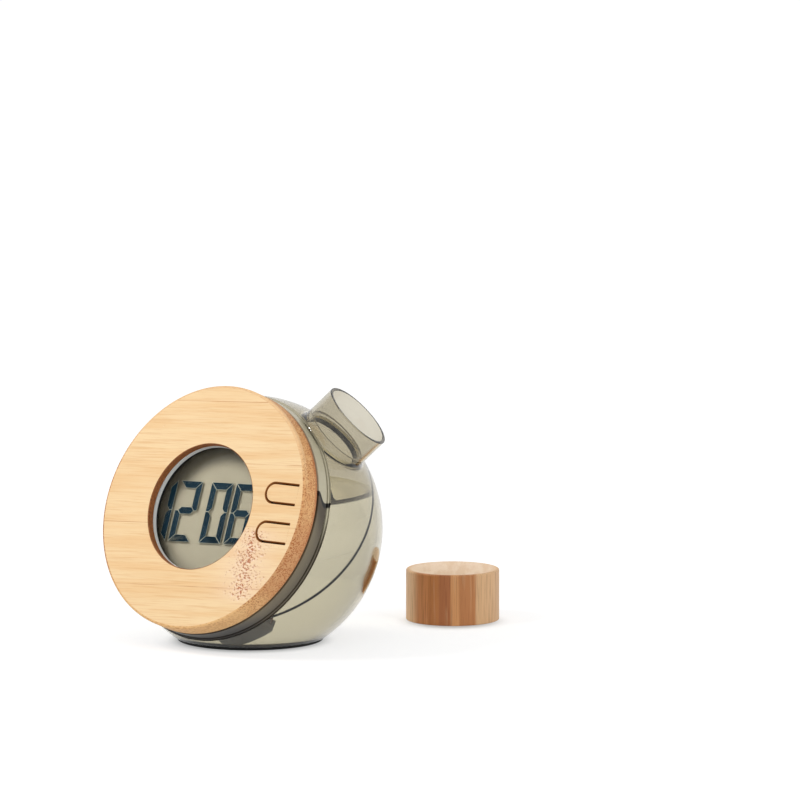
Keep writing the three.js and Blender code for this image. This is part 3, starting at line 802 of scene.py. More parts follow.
def makeGasket():
    low, high = boxIn("display_gasket")
    gasket = boxPiece("display_seal", low, high, headPlace)
    radius = display["window"] + display["gasketInset"]
    view = (low.z - past, high.z + past, display["shift"], 0, display["windowSteps"])
    combine(gasket, drumPiece("view", radius, *view))
    gasket.data.materials.append(blackRubber)
    soften(gasket, display["edge"], 2)
    finishPiece(gasket, "root", "black_rubber", "display_gasket")


# The film behind the glass: matt, grey beige, with a faint grain, a slow cloud and a painted shadow along
# its upper left edge, where the window's rim shades it
def filmMaterial():
    material, here = newMaterial("display film", headPlace)
    cloud, fine = noise(here, 0.05, 2), noise(here, 9.0, 2)
    colour = blendColour(cloud, darker(display["film"], 0.9), display["film"])
    # Painted shadow of the window's rim, darkest at the upper left
    away = vectorCalc("DISTANCE", flattened(here), (display["shadeX"], display["shadeY"], 0))
    edge = ramp(away, display["shadeStart"], display["shadeEnd"])
    colour = laid(colour, darker(display["film"], 0.1), edge, display["shadeDepth"])
    return surfaced(material, colour, fine, (0.1, 0.6), specular=0.2, depth=0.004)


# Where a point's height passes a span that is counted from the water's level
def overWater(here, span):
    return ramp(axisOf(here, "Z"), *(water["level"] + height for height in span))


# Lets the lamps' light through a clear shader almost whole
def clearToLamps(material, shader):
    shadow = addNode(material, "ShaderNodeBsdfTransparent", {"Color": (0.97, 0.97, 0.96, 1.0)})
    path = addNode(material, "ShaderNodeLightPath")
    mix = addNode(material, "ShaderNodeMixShader", {
        0: path.outputs["Is Shadow Ray"], 1: shader.outputs[0], 2: shadow.outputs[0],
    })
    return addNode(material, "ShaderNodeOutputMaterial", {"Surface": mix.outputs[0]})


# Clear glass or plastic, which may have a second, darker tint over the water as painted shade. It soaks up
# light by the metre.
def clearMaterial(name, tint, ior, roughness, wave, grain=0.12, soak=None, shadeTintOverWater=None):
    material, here = newMaterial(name)
    if shadeTintOverWater:
        tint = blendColour(overWater(here, water["shadeSpanOverWater"]), tint, shadeTintOverWater)
    glass = addNode(material, "ShaderNodeBsdfPrincipled", {
        "Base Color": tint, "Roughness": roughness, "IOR": ior, "Transmission Weight": 1.0,
        "Normal": bumped(noise(here, grain, 2), wave),
    })
    output = clearToLamps(material, glass)
    if soak:
        density = max(soak) * 1.1
        colour = tuple(1 - part / density for part in soak) + (1.0,)
        inner = addNode(material, "ShaderNodeVolumeAbsorption", {"Color": colour, "Density": density})
        material.node_tree.links.new(inner.outputs[0], output.inputs["Volume"])
    return material


# A convex outline drawn in on all sides
def drawnIn(points, gap):
    lines = []
    for a, b in zip(points, points[1:] + points[:1]):
        along = (b - a).normalized()
        lines.append((a + Vector((-along.y, along.x)) * gap, along))
    corners = []
    for (a, alongA), (b, alongB) in zip(lines[-1:] + lines[:-1], lines):
        step = (b - a).cross(alongB) / alongA.cross(alongB)
        corners.append(a + alongA * step)
    return corners


# The mitred bars of the four digits, as outlines, in the order of a display's segments from A to G
def barOutlines(gap):
    stroke, middle = digit["stroke"], digit["middle"] + digit["waist"]
    y0, y1 = digit["middle"] - digit["height"] / 2, digit["middle"] + digit["height"] / 2
    leftEnd = digit["colonX"] - digit["colonSpace"] / 2
    rightStart = digit["colonX"] + digit["colonSpace"] / 2 + digit["pairShift"]
    lefts = [leftEnd - digit["pitch"] - digit["width"], rightStart]
    places = [x + step for x in lefts for step in (0, digit["pitch"])]
    bars = {"0": "ABCDEF", "1": "BC", "2": "ABGED", "6": "AFGEDC"}
    half, outlines = stroke / 2, []
    waist = [middle, middle + half]
    lowered = dict(zip([y1, y1 - stroke], [y0, y0 + stroke]))
    lowered.update((y, middle - (y - middle) * (middle - y0) / (y1 - middle)) for y in waist)
    for name, x0 in zip("1206", places):
        x1 = x0 + digit["width"]
        upper = [(x0, y1), (x0, middle), (x0 + half, middle), (x0 + stroke, middle + half)]
        upper.append((x0 + stroke, y1 - stroke))
        lower = [(x, lowered[y]) for x, y in upper]
        shapes = {
            "A": [(x0 + stroke, y1 - stroke), (x1 - stroke, y1 - stroke), (x1, y1), (x0, y1)],
            "D": [(x0, y0), (x1, y0), (x1 - stroke, y0 + stroke), (x0 + stroke, y0 + stroke)],
            "G": [(x0 + half, middle), (x0 + stroke, middle - half), (x1 - stroke, middle - half),
                  (x1 - half, middle), (x1 - stroke, middle + half), (x0 + stroke, middle + half)],
            "F": upper, "B": [(x0 + x1 - x, y) for x, y in reversed(upper)],
            "E": lower[::-1], "C": [(x0 + x1 - x, y) for x, y in lower],
        }
        for letter in bars[name]:
            outline = drawnIn([Vector(point) for point in shapes[letter]], gap)
            outlines.append([Vector((p.x + digit["lean"] * (p.y - middle), p.y)) for p in outline])
    turn = Matrix.Rotation(math.radians(digit["turn"]), 2)
    pivot = Vector((display["shift"], middle))
    return [[turn @ (p - pivot) + pivot for p in outline] for outline in outlines]


# Gives every bar its thickness
def barTree(material):
    tree = bpy.data.node_groups.new("digit bars", "GeometryNodeTree")
    for way in ("INPUT", "OUTPUT"):
        tree.interface.new_socket(name="Geometry", in_out=way, socket_type="NodeSocketGeometry")
    thickness = tree.interface.new_socket(name="Thickness", in_out="INPUT", socket_type="NodeSocketFloat")
    kinds = {
        "source": "NodeGroupInput", "raised": "GeometryNodeExtrudeMesh", "under": "GeometryNodeFlipFaces",
        "both": "GeometryNodeJoinGeometry", "joined": "GeometryNodeMergeByDistance",
        "real": "GeometryNodeRealizeInstances", "paint": "GeometryNodeSetMaterial",
        "target": "NodeGroupOutput",
    }
    nodes = {name: tree.nodes.new(kind) for name, kind in kinds.items()}
    links = [
        ("source", "Geometry", "raised", "Mesh"), ("source", "Thickness", "raised", "Offset Scale"),
        ("source", "Geometry", "under", "Mesh"), ("under", "Mesh", "both", "Geometry"),
        ("raised", "Mesh", "both", "Geometry"), ("both", "Geometry", "joined", "Geometry"),
        ("joined", "Geometry", "real", "Geometry"), ("real", "Geometry", "paint", "Geometry"),
        ("paint", "Geometry", "target", "Geometry"),
    ]
    for start, output, end, entry in links:
        tree.links.new(nodes[start].outputs[output], nodes[end].inputs[entry])
    nodes["joined"].inputs["Distance"].default_value = display["weld"] * mm
    nodes["paint"].inputs["Material"].default_value = material
    return tree, thickness.identifier


def makeBars(name, gap, level, thickness, colour):
    ink = mouldedMaterial(name.replace("_", " "), colour, roughness=0.45, specular=0.1)
    points, faces = [], []
    for outline in barOutlines(gap):
        faces.append([len(points) + k for k in range(len(outline))])
        points.extend((p.x * mm, p.y * mm, level * mm) for p in outline)
    mesh = bpy.data.meshes.new(name)
    mesh.from_pydata(points, [], faces)
    bars = addObject(name, mesh)
    tree, socket = barTree(ink)
    raised = bars.modifiers.new("bars", "NODES")
    raised.node_group = tree
    raised[socket] = thickness * mm
    settle(bars)
    bars.data.transform(headPlace)
    finishPiece(bars, "root", "display_glass", "display_cell")


def makeDisplay():
    low, high = boxIn("display_cell")
    front = high.z - display["relief"]
    seam = front - display["glass"]
    film = boxPiece("display_back", low, (high.x, high.y, seam), headPlace, [filmMaterial()])
    soften(film, display["filmEdge"], 2)
    finishPiece(film, "root", "display_glass", "display_cell")
    glassLook = clearMaterial("display cover", display["cover"], ior=1.2, roughness=0.05, wave=0.0005)
    box = (low.x, low.y, seam + display["glassGap"]), (high.x, high.y, front)
    cover = boxPiece("display_cover", *box, headPlace, [glassLook])
    finishPiece(cover, "root", "display_glass", "display_cell")
    thickness, gap = display["barThickness"], digit["gap"] / 2
    makeBars("display_digits", gap, front - thickness, thickness, display["ink"])
    makeBars("display_halo", gap - digit["halo"], front - 2 * thickness, thickness, display["halo"])


makeHolder()
makeGasket()
makeDisplay()
print("display made")

# Vessel: two clear shells with the filling neck

neck = {
    "turn": 41.3, "forward": 3.5, "radius": 13.4, "wall": 1.3, "reach": 59.3, "foot": 0.8, "throat": 11.0,
    "lip": 0.4, "steps": 144, "throatSteps": 150, "blend": 2.4, "blendSteps": 6, "overlap": 0.012,
    "blendTail": 1.5, "blendSlope": 0.4,
}
neck["inner"], neck["floor"] = neck["radius"] - neck["wall"], vessel["radius"] + neck["foot"]
water = {
    "level": 53.6, "tint": (0.98, 0.99, 0.97, 1.0), "ior": 1.33, "glow": 0.2, "clear": 0.12, "rise": 1.6,
    "fade": 1.5, "edge": 4.5, "steps": 160, "lineSteps": 40, "airTop": 60, "shadeSpanOverWater": (-0.5, 2.5),
    "lineSpan": (-0.5, 0.0), "riseSpan": (0.1, 0.4), "nearSpan": (-6.0, 8.0), "paleSpan": (0.0, 34.0),
    "rings": (-0.6, -0.3, 0.0, 0.15, 0.3, 0.5, 0.75, 1.05, 1.4, 1.85, 2.4, 3.0, 3.7, 4.5),
}
housing = {
    "edge": 0.25, "wall": 3.0, "cupWall": 1.5, "plug": 1.5, "collarDepth": 4.9, "plugClear": 0.5,
    "cupStep": 3.5, "steps": 220, "gasketClear": 0.2, "gasketRounds": (0.1, 0.12),
}
housingLow, housingHigh = boxIn("module_housing")
collarBack = housingHigh.z - housing["collarDepth"]
plugBack = collarBack - housing["plug"]
mouthRadius = 45.7  # the mouth's step round the collar, whose radius is 45.0
shellEdge = math.sqrt(vessel["radius"] ** 2 - mouthRadius ** 2)
endRadius = math.sqrt(vessel["inner"] ** 2 - shellEdge ** 2)
plugRadius = endRadius - housing["plugClear"]
cupRadius = plugRadius - housing["cupStep"]
far = 120.0
nearSide = Vector((0.62, -0.78, 0.0))  # the side that the photograph shows
smokeSoak = (95.0, 107.0, 142.0)  # light lost per metre of wall, red, green and blue
# The smoke's tint under the water, and a darker one over it that adds painted shade
smokeTints = {"low": (0.88, 0.855, 0.775, 1.0), "high": (0.75, 0.72, 0.64, 1.0)}
nearly = {  # how close a face lies to a surface in millimetres, and how closely it faces the same way
    "paint": 0.02, "wall": 0.03, "middle": 0.06, "level": 0.05, "flat": 0.99, "aligned": 0.97,
    "upright": 0.05, "up": 0.5,
}


# Smoke plastic painted with light and shade: pale where air stands behind it and dark, painted shade, where
# water does.
# The line between them is a painted dark line that climbs towards the face, and the dark part gets paler
# there.
def waterShadedMaterial(name, roughness, span):
    material, here = newMaterial(name)
    level = axisOf(here, "Z")
    forward = ramp(axisOf(placed(material, headPlace), "Z"), shellEdge, shellEdge + paintedWaterLook["reach"])
    climb = times(calc("POWER", forward, 3.0), paintedWaterLook["climb"])
    over = minus(minus(level, water["level"] + paintedWaterLook["lineHeight"]), climb)
    above = ramp(over, *span)
    cloud, fine = noise(here, 0.08, 2), noise(here, 5.0, 2)
    # Painted shade under the water: darker at the back, browner just under the line and darker towards the
    # bottom
    underWaterShade = blendColour(forward, paintedWaterTones["back"], paintedWaterTones["dark"])
    underWaterShade = laid(underWaterShade, paintedWaterTones["back"], cloud, 0.5)
    underWaterShade = laid(underWaterShade, paintedWaterTones["brown"], ramp(over, *paintedWaterLook["brownSpan"]), 0.8)
    underWaterShade = laid(underWaterShade, paintedWaterTones["low"], ramp(level, *paintedWaterLook["lowSpan"]), 0.8)
    colour = blendColour(above, underWaterShade, paintedWaterTones["pale"])
    line = times(ramp(over, *paintedWaterLook["lineLow"]), ramp(over, *paintedWaterLook["lineHigh"]))
    colour = blendColour(line, colour, paintedWaterTones["line"])
    return surfaced(material, colour, fine, (0.08, roughness), specular=0.3, depth=0.003)


# Where a point's way towards the near wall passes a span
def nearWall(here, span):
    return ramp(vectorCalc("DOT_PRODUCT", here, nearSide), *span)


# A painted dark line: the shade that the risen edge of the water makes at the near wall
def edgeLine(material, colour):
    glass = next(node for node in material.node_tree.nodes if node.type == "BSDF_PRINCIPLED")
    here = placed(material)
    line = times(overWater(here, water["lineSpan"]), nearWall(here, water["nearSpan"]))
    shade = blendColour(line, colour, paintedWaterTones["line"])
    material.node_tree.links.new(shade, glass.inputs["Base Color"])


# The water's surface: painted light, a pale colour and a glow, with a painted dark line of shade where it
# rises at the near wall
def waterSurface():
    material, here = newMaterial("water surface")
    shade = times(nearWall(here, water["nearSpan"]), overWater(here, water["riseSpan"]))
    pale = nearWall(here, water["paleSpan"])
    pale = blendColour(pale, paintedWaterTones["surface"], paintedWaterTones["surfaceNear"])
    clearToLamps(material, addNode(material, "ShaderNodeBsdfPrincipled", {
        "Base Color": blendColour(shade, pale, paintedWaterTones["line"]),
        "Roughness": 0.05, "IOR": water["ior"], "Transmission Weight": 0.35,
        # Painted glow, left off on the dark line
        "Emission Color": paintedWaterTones["surface"],
        "Emission Strength": times(minus(1.0, shade), water["glow"]),
        "Normal": bumped(noise(here, 0.12, 2), 0.01),
    }))
    return material


# Tones of the painted light and shade that the water makes
paintedWaterTones = screenColours({
    "pale": (184, 177, 152), "dark": (122, 112, 90), "back": (92, 84, 70), "brown": (62, 52, 40),
    "low": (46, 45, 46), "line": (22, 19, 16), "surface": (238, 231, 200), "surfaceNear": (212, 203, 172),
})
paintedWaterLook = {
    "reach": 6.2, "climb": 4.8, "lineHeight": 1.1, "softSpan": (-16.0, -3.0), "sharpSpan": (-0.5, 0.0),
    "brownSpan": (-15.0, -4.0), "lowSpan": (17.0, 8.0), "lineLow": (-2.2, -1.5), "lineHigh": (0.0, -0.4),
}
smokeClear = clearMaterial("smoke clear", smokeTints["low"], ior=1.49, roughness=0.015, wave=0.006,
                           grain=0.05, soak=smokeSoak, shadeTintOverWater=smokeTints["high"])
# Materials painted with the water's light and shade
smokeDark = waterShadedMaterial("dark smoke plastic", roughness=0.25, span=paintedWaterLook["sharpSpan"])
waterShadedRubber = waterShadedMaterial("seal rubber", roughness=0.35, span=paintedWaterLook["softSpan"])
shellEnd = waterShadedMaterial("shell end", roughness=0.35, span=paintedWaterLook["softSpan"])


def ballPiece(name, radius):
    rings = vessel["segments"] // 2
    corners = [(radius * math.sin(math.pi * k / rings), -radius * math.cos(math.pi * k / rings))
               for k in range(rings + 1)]
    corners[0], corners[-1] = (0, -radius), (0, radius)
    return lathe(name, corners, headPlace, [], vessel["segments"])


# A big block on the far side of a plane, whose normal and offset are counted from the vessel's centre
def blockBeyond(normal, offset):
    place = ballPlace @ Vector((0, 0, 1)).rotation_difference(normal).to_matrix().to_4x4()
    return boxPiece("block", (-far, -far, offset), (far, far, far), place)


faceNormal = headPlace.to_3x3() @ Vector((0, 0, 1))
down = Vector((0, 0, -1))
seamTurn, seamTip = math.radians(vessel["seamTurn"]), math.radians(vessel["seamTip"])
seamNormal = Vector((
    math.sin(seamTurn) * math.cos(seamTip), -math.cos(seamTurn) * math.cos(seamTip), math.sin(seamTip),
))
neckPlace = headPlace @ Matrix.Translation((0, 0, neck["forward"] * mm)) @ Matrix.Rotation(
    -math.radians(neck["turn"]), 4, "Z") @ Matrix.Rotation(-math.pi / 2, 4, "X")


def hollowPiece():
    hollow = ballPiece("hollow", vessel["inner"])
    return combine(hollow, blockBeyond(down, baseDepth - vessel["floor"]))


# The middle line of the round between the neck and the ball: where a ball of its radius touches both
def blendMiddle(turn):
    centre = (neckPlace.inverted() @ ballPlace.translation) / mm
    radius = neck["radius"] + neck["blend"]
    x, y = radius * math.cos(turn), radius * math.sin(turn)
    off = (x - centre.x) ** 2 + (y - centre.y) ** 2
    return Vector((x, y, centre.z + math.sqrt((vessel["radius"] + neck["blend"]) ** 2 - off))), centre


def blendRing():
    shape, steps, rounds = emptyShape(), neck["steps"], neck["blendSteps"]
    reach = neck["blend"] + neck["overlap"]
    rings = []
    for k in range(steps):
        turn = allWay * (k + 0.5) / steps
        middle, centre = blendMiddle(turn)
        toNeck, toBall = Vector((-math.cos(turn), -math.sin(turn), 0)), (centre - middle).normalized()
        points = [middle + toNeck.slerp(toBall, j / rounds) * reach for j in range(rounds + 1)]
        points.append(points[-1] + toBall * neck["blendTail"])
        points.append(points[0] + toNeck * neck["blendTail"])
        points[-1].z = min(points[-1].z, points[0].z - neck["blendSlope"])
        rings.append(addPoints(shape, [tuple(point) for point in points]))
    joinRings(shape, rings + rings[:1])
    return makeObject("blend", shape, neckPlace, [])


# How far the water's surface stands over its level, and its slope, near the walls
def waterRise(inward):
    if inward > water["edge"]:
        return 0.0, 0.0
    height = water["rise"] * math.exp(-inward / water["fade"])
    return height - water["rise"] * math.exp(-water["edge"] / water["fade"]), height / water["fade"]


def waterBounds():
    up = water["level"] - centreHeight
    radius = math.sqrt((vessel["inner"] - water["clear"]) ** 2 - up ** 2)
    back = housingLow.z - water["clear"]
    return radius, (faceNormal.z * up - back) / -faceNormal.y


# The air over the water, whose underside rises at the walls
def makeAir():
    radius, line = waterBounds()
    shape, rings = emptyShape(), []
    for inward in water["rings"]:
        r, y = radius - inward, line + inward
        start = math.asin(y / r)
        angles = [start + (math.pi - 2 * start) * k / water["steps"] for k in range(water["steps"] + 1)]
        half = r * math.cos(start)
        flat = [half * (2 * k / water["lineSteps"] - 1) for k in range(1, water["lineSteps"])]
        z = water["level"] + waterRise(inward)[0]
        points = [(r * math.cos(a), r * math.sin(a), z) for a in angles] + [(x, y, z) for x in flat]
        rings.append(addPoints(shape, points))
    low = rings[0]
    above = water["level"] + water["airTop"]
    top = addPoints(shape, [(*shape["points"][i][:2], above) for i in low])
    joinRings(shape, rings[::-1] + [top])
    addFace(shape, top, [(0, 0, 1)] * len(top))
    addFace(shape, rings[-1][::-1], [(0, 0, 1)] * len(top))
    return makeObject("air", shape, Matrix.Identity(4), [])


# Exact normals for the curved faces of a carved shell or of the water. Each surface is a pair: the normal at
# a point, and how far the point lies from the surface in millimetres.
def trueNormals(piece):
    mesh = piece.data
    centre, start = ballPlace.translation, neckPlace.translation
    axis = (neckPlace.to_3x3() @ Vector((0, 0, 1))).normalized()
    edge, line = waterBounds()

    def fromAxis(point):
        away = point - start
        return away - axis * away.dot(axis)

    # The middle of the blend's round beside a point
    def blendCentre(point):
        local = neckPlace.inverted() @ point
        return neckPlace @ (blendMiddle(math.atan2(local.y, local.x))[0] * mm)

    # The middle of a lip's round beside a point
    def lipCentre(point, radius, level):
        return start + (fromAxis(point).normalized() * radius + axis * level) * mm

    def waterSlope(point):
        x, y = point.x / mm, point.y / mm
        away = math.hypot(x, y)
        if edge - away < y - line:
            return waterRise(edge - away), Vector((-x / away, -y / away, 0))
        return waterRise(y - line), Vector((0, 1, 0))

    def waterNormal(point):
        (_, slope), inward = waterSlope(point)
        return (Vector((0, 0, 1)) + inward * slope).normalized()

    def roundSurface(away, radius):
        return lambda p: away(p).normalized(), lambda p: abs(away(p).length / mm - radius)

    inner, lip, top = neck["inner"], neck["lip"], neck["reach"]
    balls = (vessel["radius"], vessel["inner"], vessel["inner"] - water["clear"])
    surfaces = [roundSurface(lambda p: p - centre, radius) for radius in balls]
    surfaces += [roundSurface(fromAxis, radius) for radius in (neck["radius"], inner, neck["throat"])]
    surfaces.append(roundSurface(lambda p: p - blendCentre(p), neck["blend"]))
    surfaces.append((waterNormal, lambda p: abs(p.z / mm - water["level"] - waterSlope(p)[0][0])))
    lips = [(neck["radius"] - lip, top - lip), (inner + lip, top - lip), (inner - lip, neck["floor"] + lip)]
    for radius, level in lips:
        surfaces.append(roundSurface(lambda p, r=radius, z=level: p - lipCentre(p, r, z), lip))
    normals = []
    for face in mesh.polygons:
        points = [mesh.vertices[i].co for i in face.vertices]
        chosen = [face.normal.copy()] * len(points)
        for normalAt, distance in surfaces:
            facing = normalAt(face.center).dot(face.normal)
            if abs(facing) < nearly["aligned"] or distance(face.center) > nearly["middle"]:
                continue
            if all(distance(p) < nearly["wall"] for p in points):
                chosen = [normalAt(p) * math.copysign(1, facing) for p in points]
                break
        normals.extend(chosen)
    mesh.polygons.foreach_set("use_smooth", [True] * len(mesh.polygons))
    mesh.normals_split_custom_set(normals)
    return piece


# Gives the faces that pass a test their own look
def paintEnd(piece, look, test):
    piece.data.materials.append(look)
    for face in piece.data.polygons:
        if test(face):
            face.material_index = len(piece.data.materials) - 1
    return piece


# The mouth's end face, and the wall where the neck's root stays clear of the collar
def atMouth(face):
    local = (headPlace.inverted() @ face.center) / mm
    facing = abs(face.normal.dot(faceNormal))
    onEnd = abs(local.z - shellEdge) < nearly["paint"] and facing > nearly["flat"]
    onWall = abs(math.hypot(local.x, local.y) - mouthRadius) < nearly["wall"] and facing < nearly["upright"]
    return onEnd or (local.z > shellEdge - nearly["paint"] and onWall)


def atSurface(face):
    return face.center.z / mm > water["level"] - nearly["level"] and face.normal.z > nearly["up"]


def makeVesselShell():
    shell = ballPiece("vessel_body", vessel["radius"])
    combine(shell, blockBeyond(down, baseDepth))
    combine(shell, hollowPiece())
    combine(shell, blockBeyond(faceNormal, shellEdge))
    combine(shell, blockBeyond(seamNormal, vessel["seamOffset"] - vessel["seamGap"] / 2))
    shell.data.materials.append(smokeClear)
    trueNormals(paintEnd(shell, shellEnd, atMouth))
    finishPiece(shell, "root", "smoke_clear", "vessel_shell")


# The filling neck as a rod with a cup in its end
def neckRod():
    outer, inner, lip = neck["radius"], neck["inner"], neck["lip"]
    low, top, floor = vessel["radius"] / 2, neck["reach"], neck["floor"]
    corners = [(0, low), (outer, low), (outer, top, lip), (inner, top, lip), (inner, floor, lip), (0, floor)]
    return lathe("neck_rod", corners, neckPlace, [], neck["steps"])


def makeNeckShell():
    shell, rod = ballPiece("vessel_neck", vessel["radius"]), neckRod()
    combine(shell, blockBeyond(faceNormal, shellEdge))
    combine(rod, blendRing(), "UNION")
    combine(rod, drumPiece("mouth", mouthRadius, shellEdge, far, steps=neck["steps"]))
    combine(shell, rod, "UNION")
    combine(shell, blockBeyond(-seamNormal, -vessel["seamOffset"] - vessel["seamGap"] / 2))
    combine(shell, hollowPiece())
    low, high, radius = vessel["radius"] / 2, neck["floor"] + past, neck["throat"]
    corners = [(0, low), (radius, low), (radius, high), (0, high)]
    combine(shell, lathe("throat", corners, neckPlace, [], neck["throatSteps"]))
    closeUp(shell)
    shell.data.materials.append(smokeClear)
    trueNormals(paintEnd(shell, shellEnd, atMouth))
    finishPiece(shell, "root", "smoke_clear", "neck_shell")


# The water that the vessel holds in the photograph, a hair clear of its walls
def makeWater():
    clear = water["clear"]
    filling = ballPiece("water", vessel["inner"] - clear)
    combine(filling, blockBeyond(down, baseDepth - vessel["floor"] - clear))
    combine(filling, blockBeyond(faceNormal, plugBack - clear))
    cup = drumPiece("cup", cupRadius + clear, housingLow.z - clear, far, steps=water["steps"])
    combine(filling, cup)
    combine(filling, makeAir())
    look = clearMaterial("water", water["tint"], water["ior"], roughness=0.0, wave=0.002, grain=0.03)
    edgeLine(look, water["tint"])
    filling.data.materials.append(look)
    trueNormals(paintEnd(filling, waterSurface(), atSurface))
    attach(filling, "root")


makeVesselShell()
makeNeckShell()
makeWater()
print("vessel made")

# Module housing, its gasket and the foot


def makeHousing():
    collar, front, back, edge = housingHigh.x, housingHigh.z, housingLow.z, housing["edge"]
    collarInner, cupInner = collar - housing["wall"], cupRadius - housing["cupWall"]
    cupInside = back + housing["cupWall"]
    corners = [
        (0, back), (cupRadius, back, edge), (cupRadius, plugBack, edge), (plugRadius, plugBack, edge),
        (plugRadius, collarBack), (collar, collarBack, edge), (collar, front, edge), (collarInner, front),
        (collarInner, collarBack), (cupInner, collarBack), (cupInner, cupInside, edge), (0, cupInside),
    ]
    made = lathe("housing", corners, headPlace, [smokeDark], housing["steps"])
    finishPiece(made, "root", "smoke_dark", "module_housing")


def makeSeal():
    low, high = boxIn("housing_gasket")
    inner, outer = endRadius - housing["gasketClear"], high.x
    inside, outside = housing["gasketRounds"]
    ring = [(inner, low.z, inside), (outer, low.z, outside)]
    ring += [(outer, high.z, outside), (inner, high.z, inside)]
    made = lathe("vessel_seal", ring, headPlace, [waterShadedRubber], housing["steps"])
    finishPiece(made, "root", "black_rubber", "housing_gasket")


makeHousing()
makeSeal()

foot = {"round": 0.35, "filmRound": 0.15, "steps": 160, "film": screenColour(206, 200, 182)}
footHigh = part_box("foot_pad")[1]
footRadius, footTop = footHigh.x / mm, footHigh.z / mm


def makeFoot():
    # The pad's pale top is painted light, for the light that shows through the vessel's base there
    paleLightFilm = mouldedMaterial("pale light film", foot["film"], roughness=0.5)
    film = (footRadius, footTop, foot["filmRound"], 1)
    corners = [(0, 0), (footRadius, 0, foot["round"]), film, (0, footTop)]
    made = lathe("foot", corners, Matrix.Identity(4), [blackRubber, paleLightFilm], foot["steps"])
    finishPiece(made, "root", "black_rubber", "foot_pad")


makeFoot()
print("housing, seal and foot made")

# Cap, taken off and standing on the floor

cap = {
    "wall": 1.9, "top": 3.2, "round": 0.7, "foot": 0.3, "stripTurn": 38.0, "steps": 160,
    "strips": [
        (-13.8, (236, 192, 146)), (-9.0, (204, 136, 84)), (-5.0, (189, 122, 71)), (-0.6, (171, 106, 63)),
        (2.4, (208, 149, 96)), (8.4, (182, 121, 74)), (18.0, (213, 172, 128)),
    ],
    "softFirst": 1.6, "soft": 0.45, "wave": (0.2, 0.2, 0.03), "fibres": (2.6, 2.6, 0.06),
    "clouds": (0.7, 0.7, 0.05), "bands": (0.35, 0.05, 0.3), "endGrain": (2.4, 1.2, 2.0), "rim": (-1.8, -0.5),
    **screenColours({
        "fibre": (118, 66, 36), "edge": (222, 172, 106),
        "pale": (246, 218, 188), "paleDeep": (236, 202, 166),
    }),
}
capLow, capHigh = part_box("cap_shell")
cap["radius"] = (capHigh.x - capLow.x) / 2 / mm
cap["height"] = capHigh.z / mm
cap["tones"] = [(edge, screenColour(*tone)) for edge, tone in cap["strips"]]
capPlace = Matrix.Translation(((capLow.x + capHigh.x) / 2, (capLow.y + capHigh.y) / 2, 0))
stripPlace = capPlace @ Matrix.Rotation(math.radians(cap["stripTurn"]), 4, "Z")


# Upright strips of several browns, side by side. A tone stands with the place of its right edge.
def capSide():
    material, here = newMaterial("dark bamboo strips", stripPlace)
    across = scaled(streaky(here, cap["wave"]), 0.8, minus(axisOf(here, "X"), 0.4))
    tones = cap["tones"]
    # The first, palest strip, at one side with the softest edge, is partly the bamboo's own tone and partly
    # a painted reflection
    colour, last = tones[0][1], tones[-1][1]
    for k, ((edge, _), (_, tone)) in enumerate(zip(tones, tones[1:])):
        soft = cap["soft"] if k else cap["softFirst"]
        colour = blendColour(ramp(across, edge - soft, edge + soft), colour, tone)
    fibres, clouds = streaky(here, cap["fibres"], 3, 0.6), streaky(here, cap["clouds"])
    colour = laid(colour, cap["fibre"], ramp(fibres, 0.48, 0.7), 0.45)
    colour = laid(colour, last, ramp(clouds, 0.52, 0.7), 0.3)
    return surfaced(material, colour, fibres, (0.15, 0.42), specular=0.4, depth=0.02)


def capEnd():
    material, here = newMaterial("pale bamboo end", stripPlace)
    bands, fine = streaky(here, cap["bands"]), streaky(here, cap["endGrain"], 3, 0.6)
    colour = blendColour(ramp(bands, 0.4, 0.65), cap["pale"], cap["paleDeep"])
    colour = laid(colour, cap["tones"][-1][1], ramp(fine, 0.52, 0.7), 0.3)
    rim = ramp(vectorCalc("LENGTH", flattened(here)), *(cap["radius"] + inset for inset in cap["rim"]))
    colour = laid(colour, cap["edge"], rim, 0.75)
    return surfaced(material, colour, fine, (0.15, 0.5), specular=0.35, depth=0.02)


def makeCap():
    radius, height, bore, foot = cap["radius"], cap["height"], cap["radius"] - cap["wall"], cap["foot"]
    inside = height - cap["top"]
    corners = [
        (bore, 0, foot), (radius, 0, foot), (radius, height, cap["round"], 1), (0, height), (0, inside),
        (bore, inside, foot),
    ]
    made = lathe("bamboo_cap", corners, capPlace, [capSide(), capEnd()], cap["steps"], closed=True)
    finishPiece(made, "cap", "dark_bamboo", "cap_shell")


makeCap()
print("cap made")

# Materials of the CAD nodes that show as they are

slotMaterials = {
    "board_green": mouldedMaterial("solder mask", screenColour(28, 92, 50), roughness=0.4),
    "black_plastic": mouldedMaterial("black plastic", screenColour(36, 29, 22), roughness=0.45),
    "pale_rubber": mouldedMaterial("pale rubber", screenColour(222, 218, 206), roughness=0.65),
    "smoke_dark": smokeDark, "white_plastic": whitePlastic, "black_rubber": blackRubber,
}
metals = {  # name, colour, roughness, tarnish
    "copper": ("copper sheet", (132, 84, 60), 0.3, (92, 56, 38)),
    "zinc": ("zinc sheet", (168, 174, 178), 0.4, (120, 124, 126)),
    "terminal_brass": ("turned brass", (214, 178, 104), 0.25, (150, 116, 62)),
    "steel": ("plated steel", (198, 200, 202), 0.25, (150, 152, 154)),
}
for slot, (name, colour, roughness, tarnish) in metals.items():
    slotMaterials[slot] = metalMaterial(name, screenColour(*colour), roughness, screenColour(*tarnish))
for row in frame["record"]["subparts"]:
    nodeObject = frame["nodes"][row["node"]]
    if nodeObject.hide_render:
        continue
    look = slotMaterials[row["material_slot"]]
    nodeObject.data.materials.clear()
    nodeObject.data.materials.append(look)
print("materials given to the carried-over nodes")

# Camera, floor, light

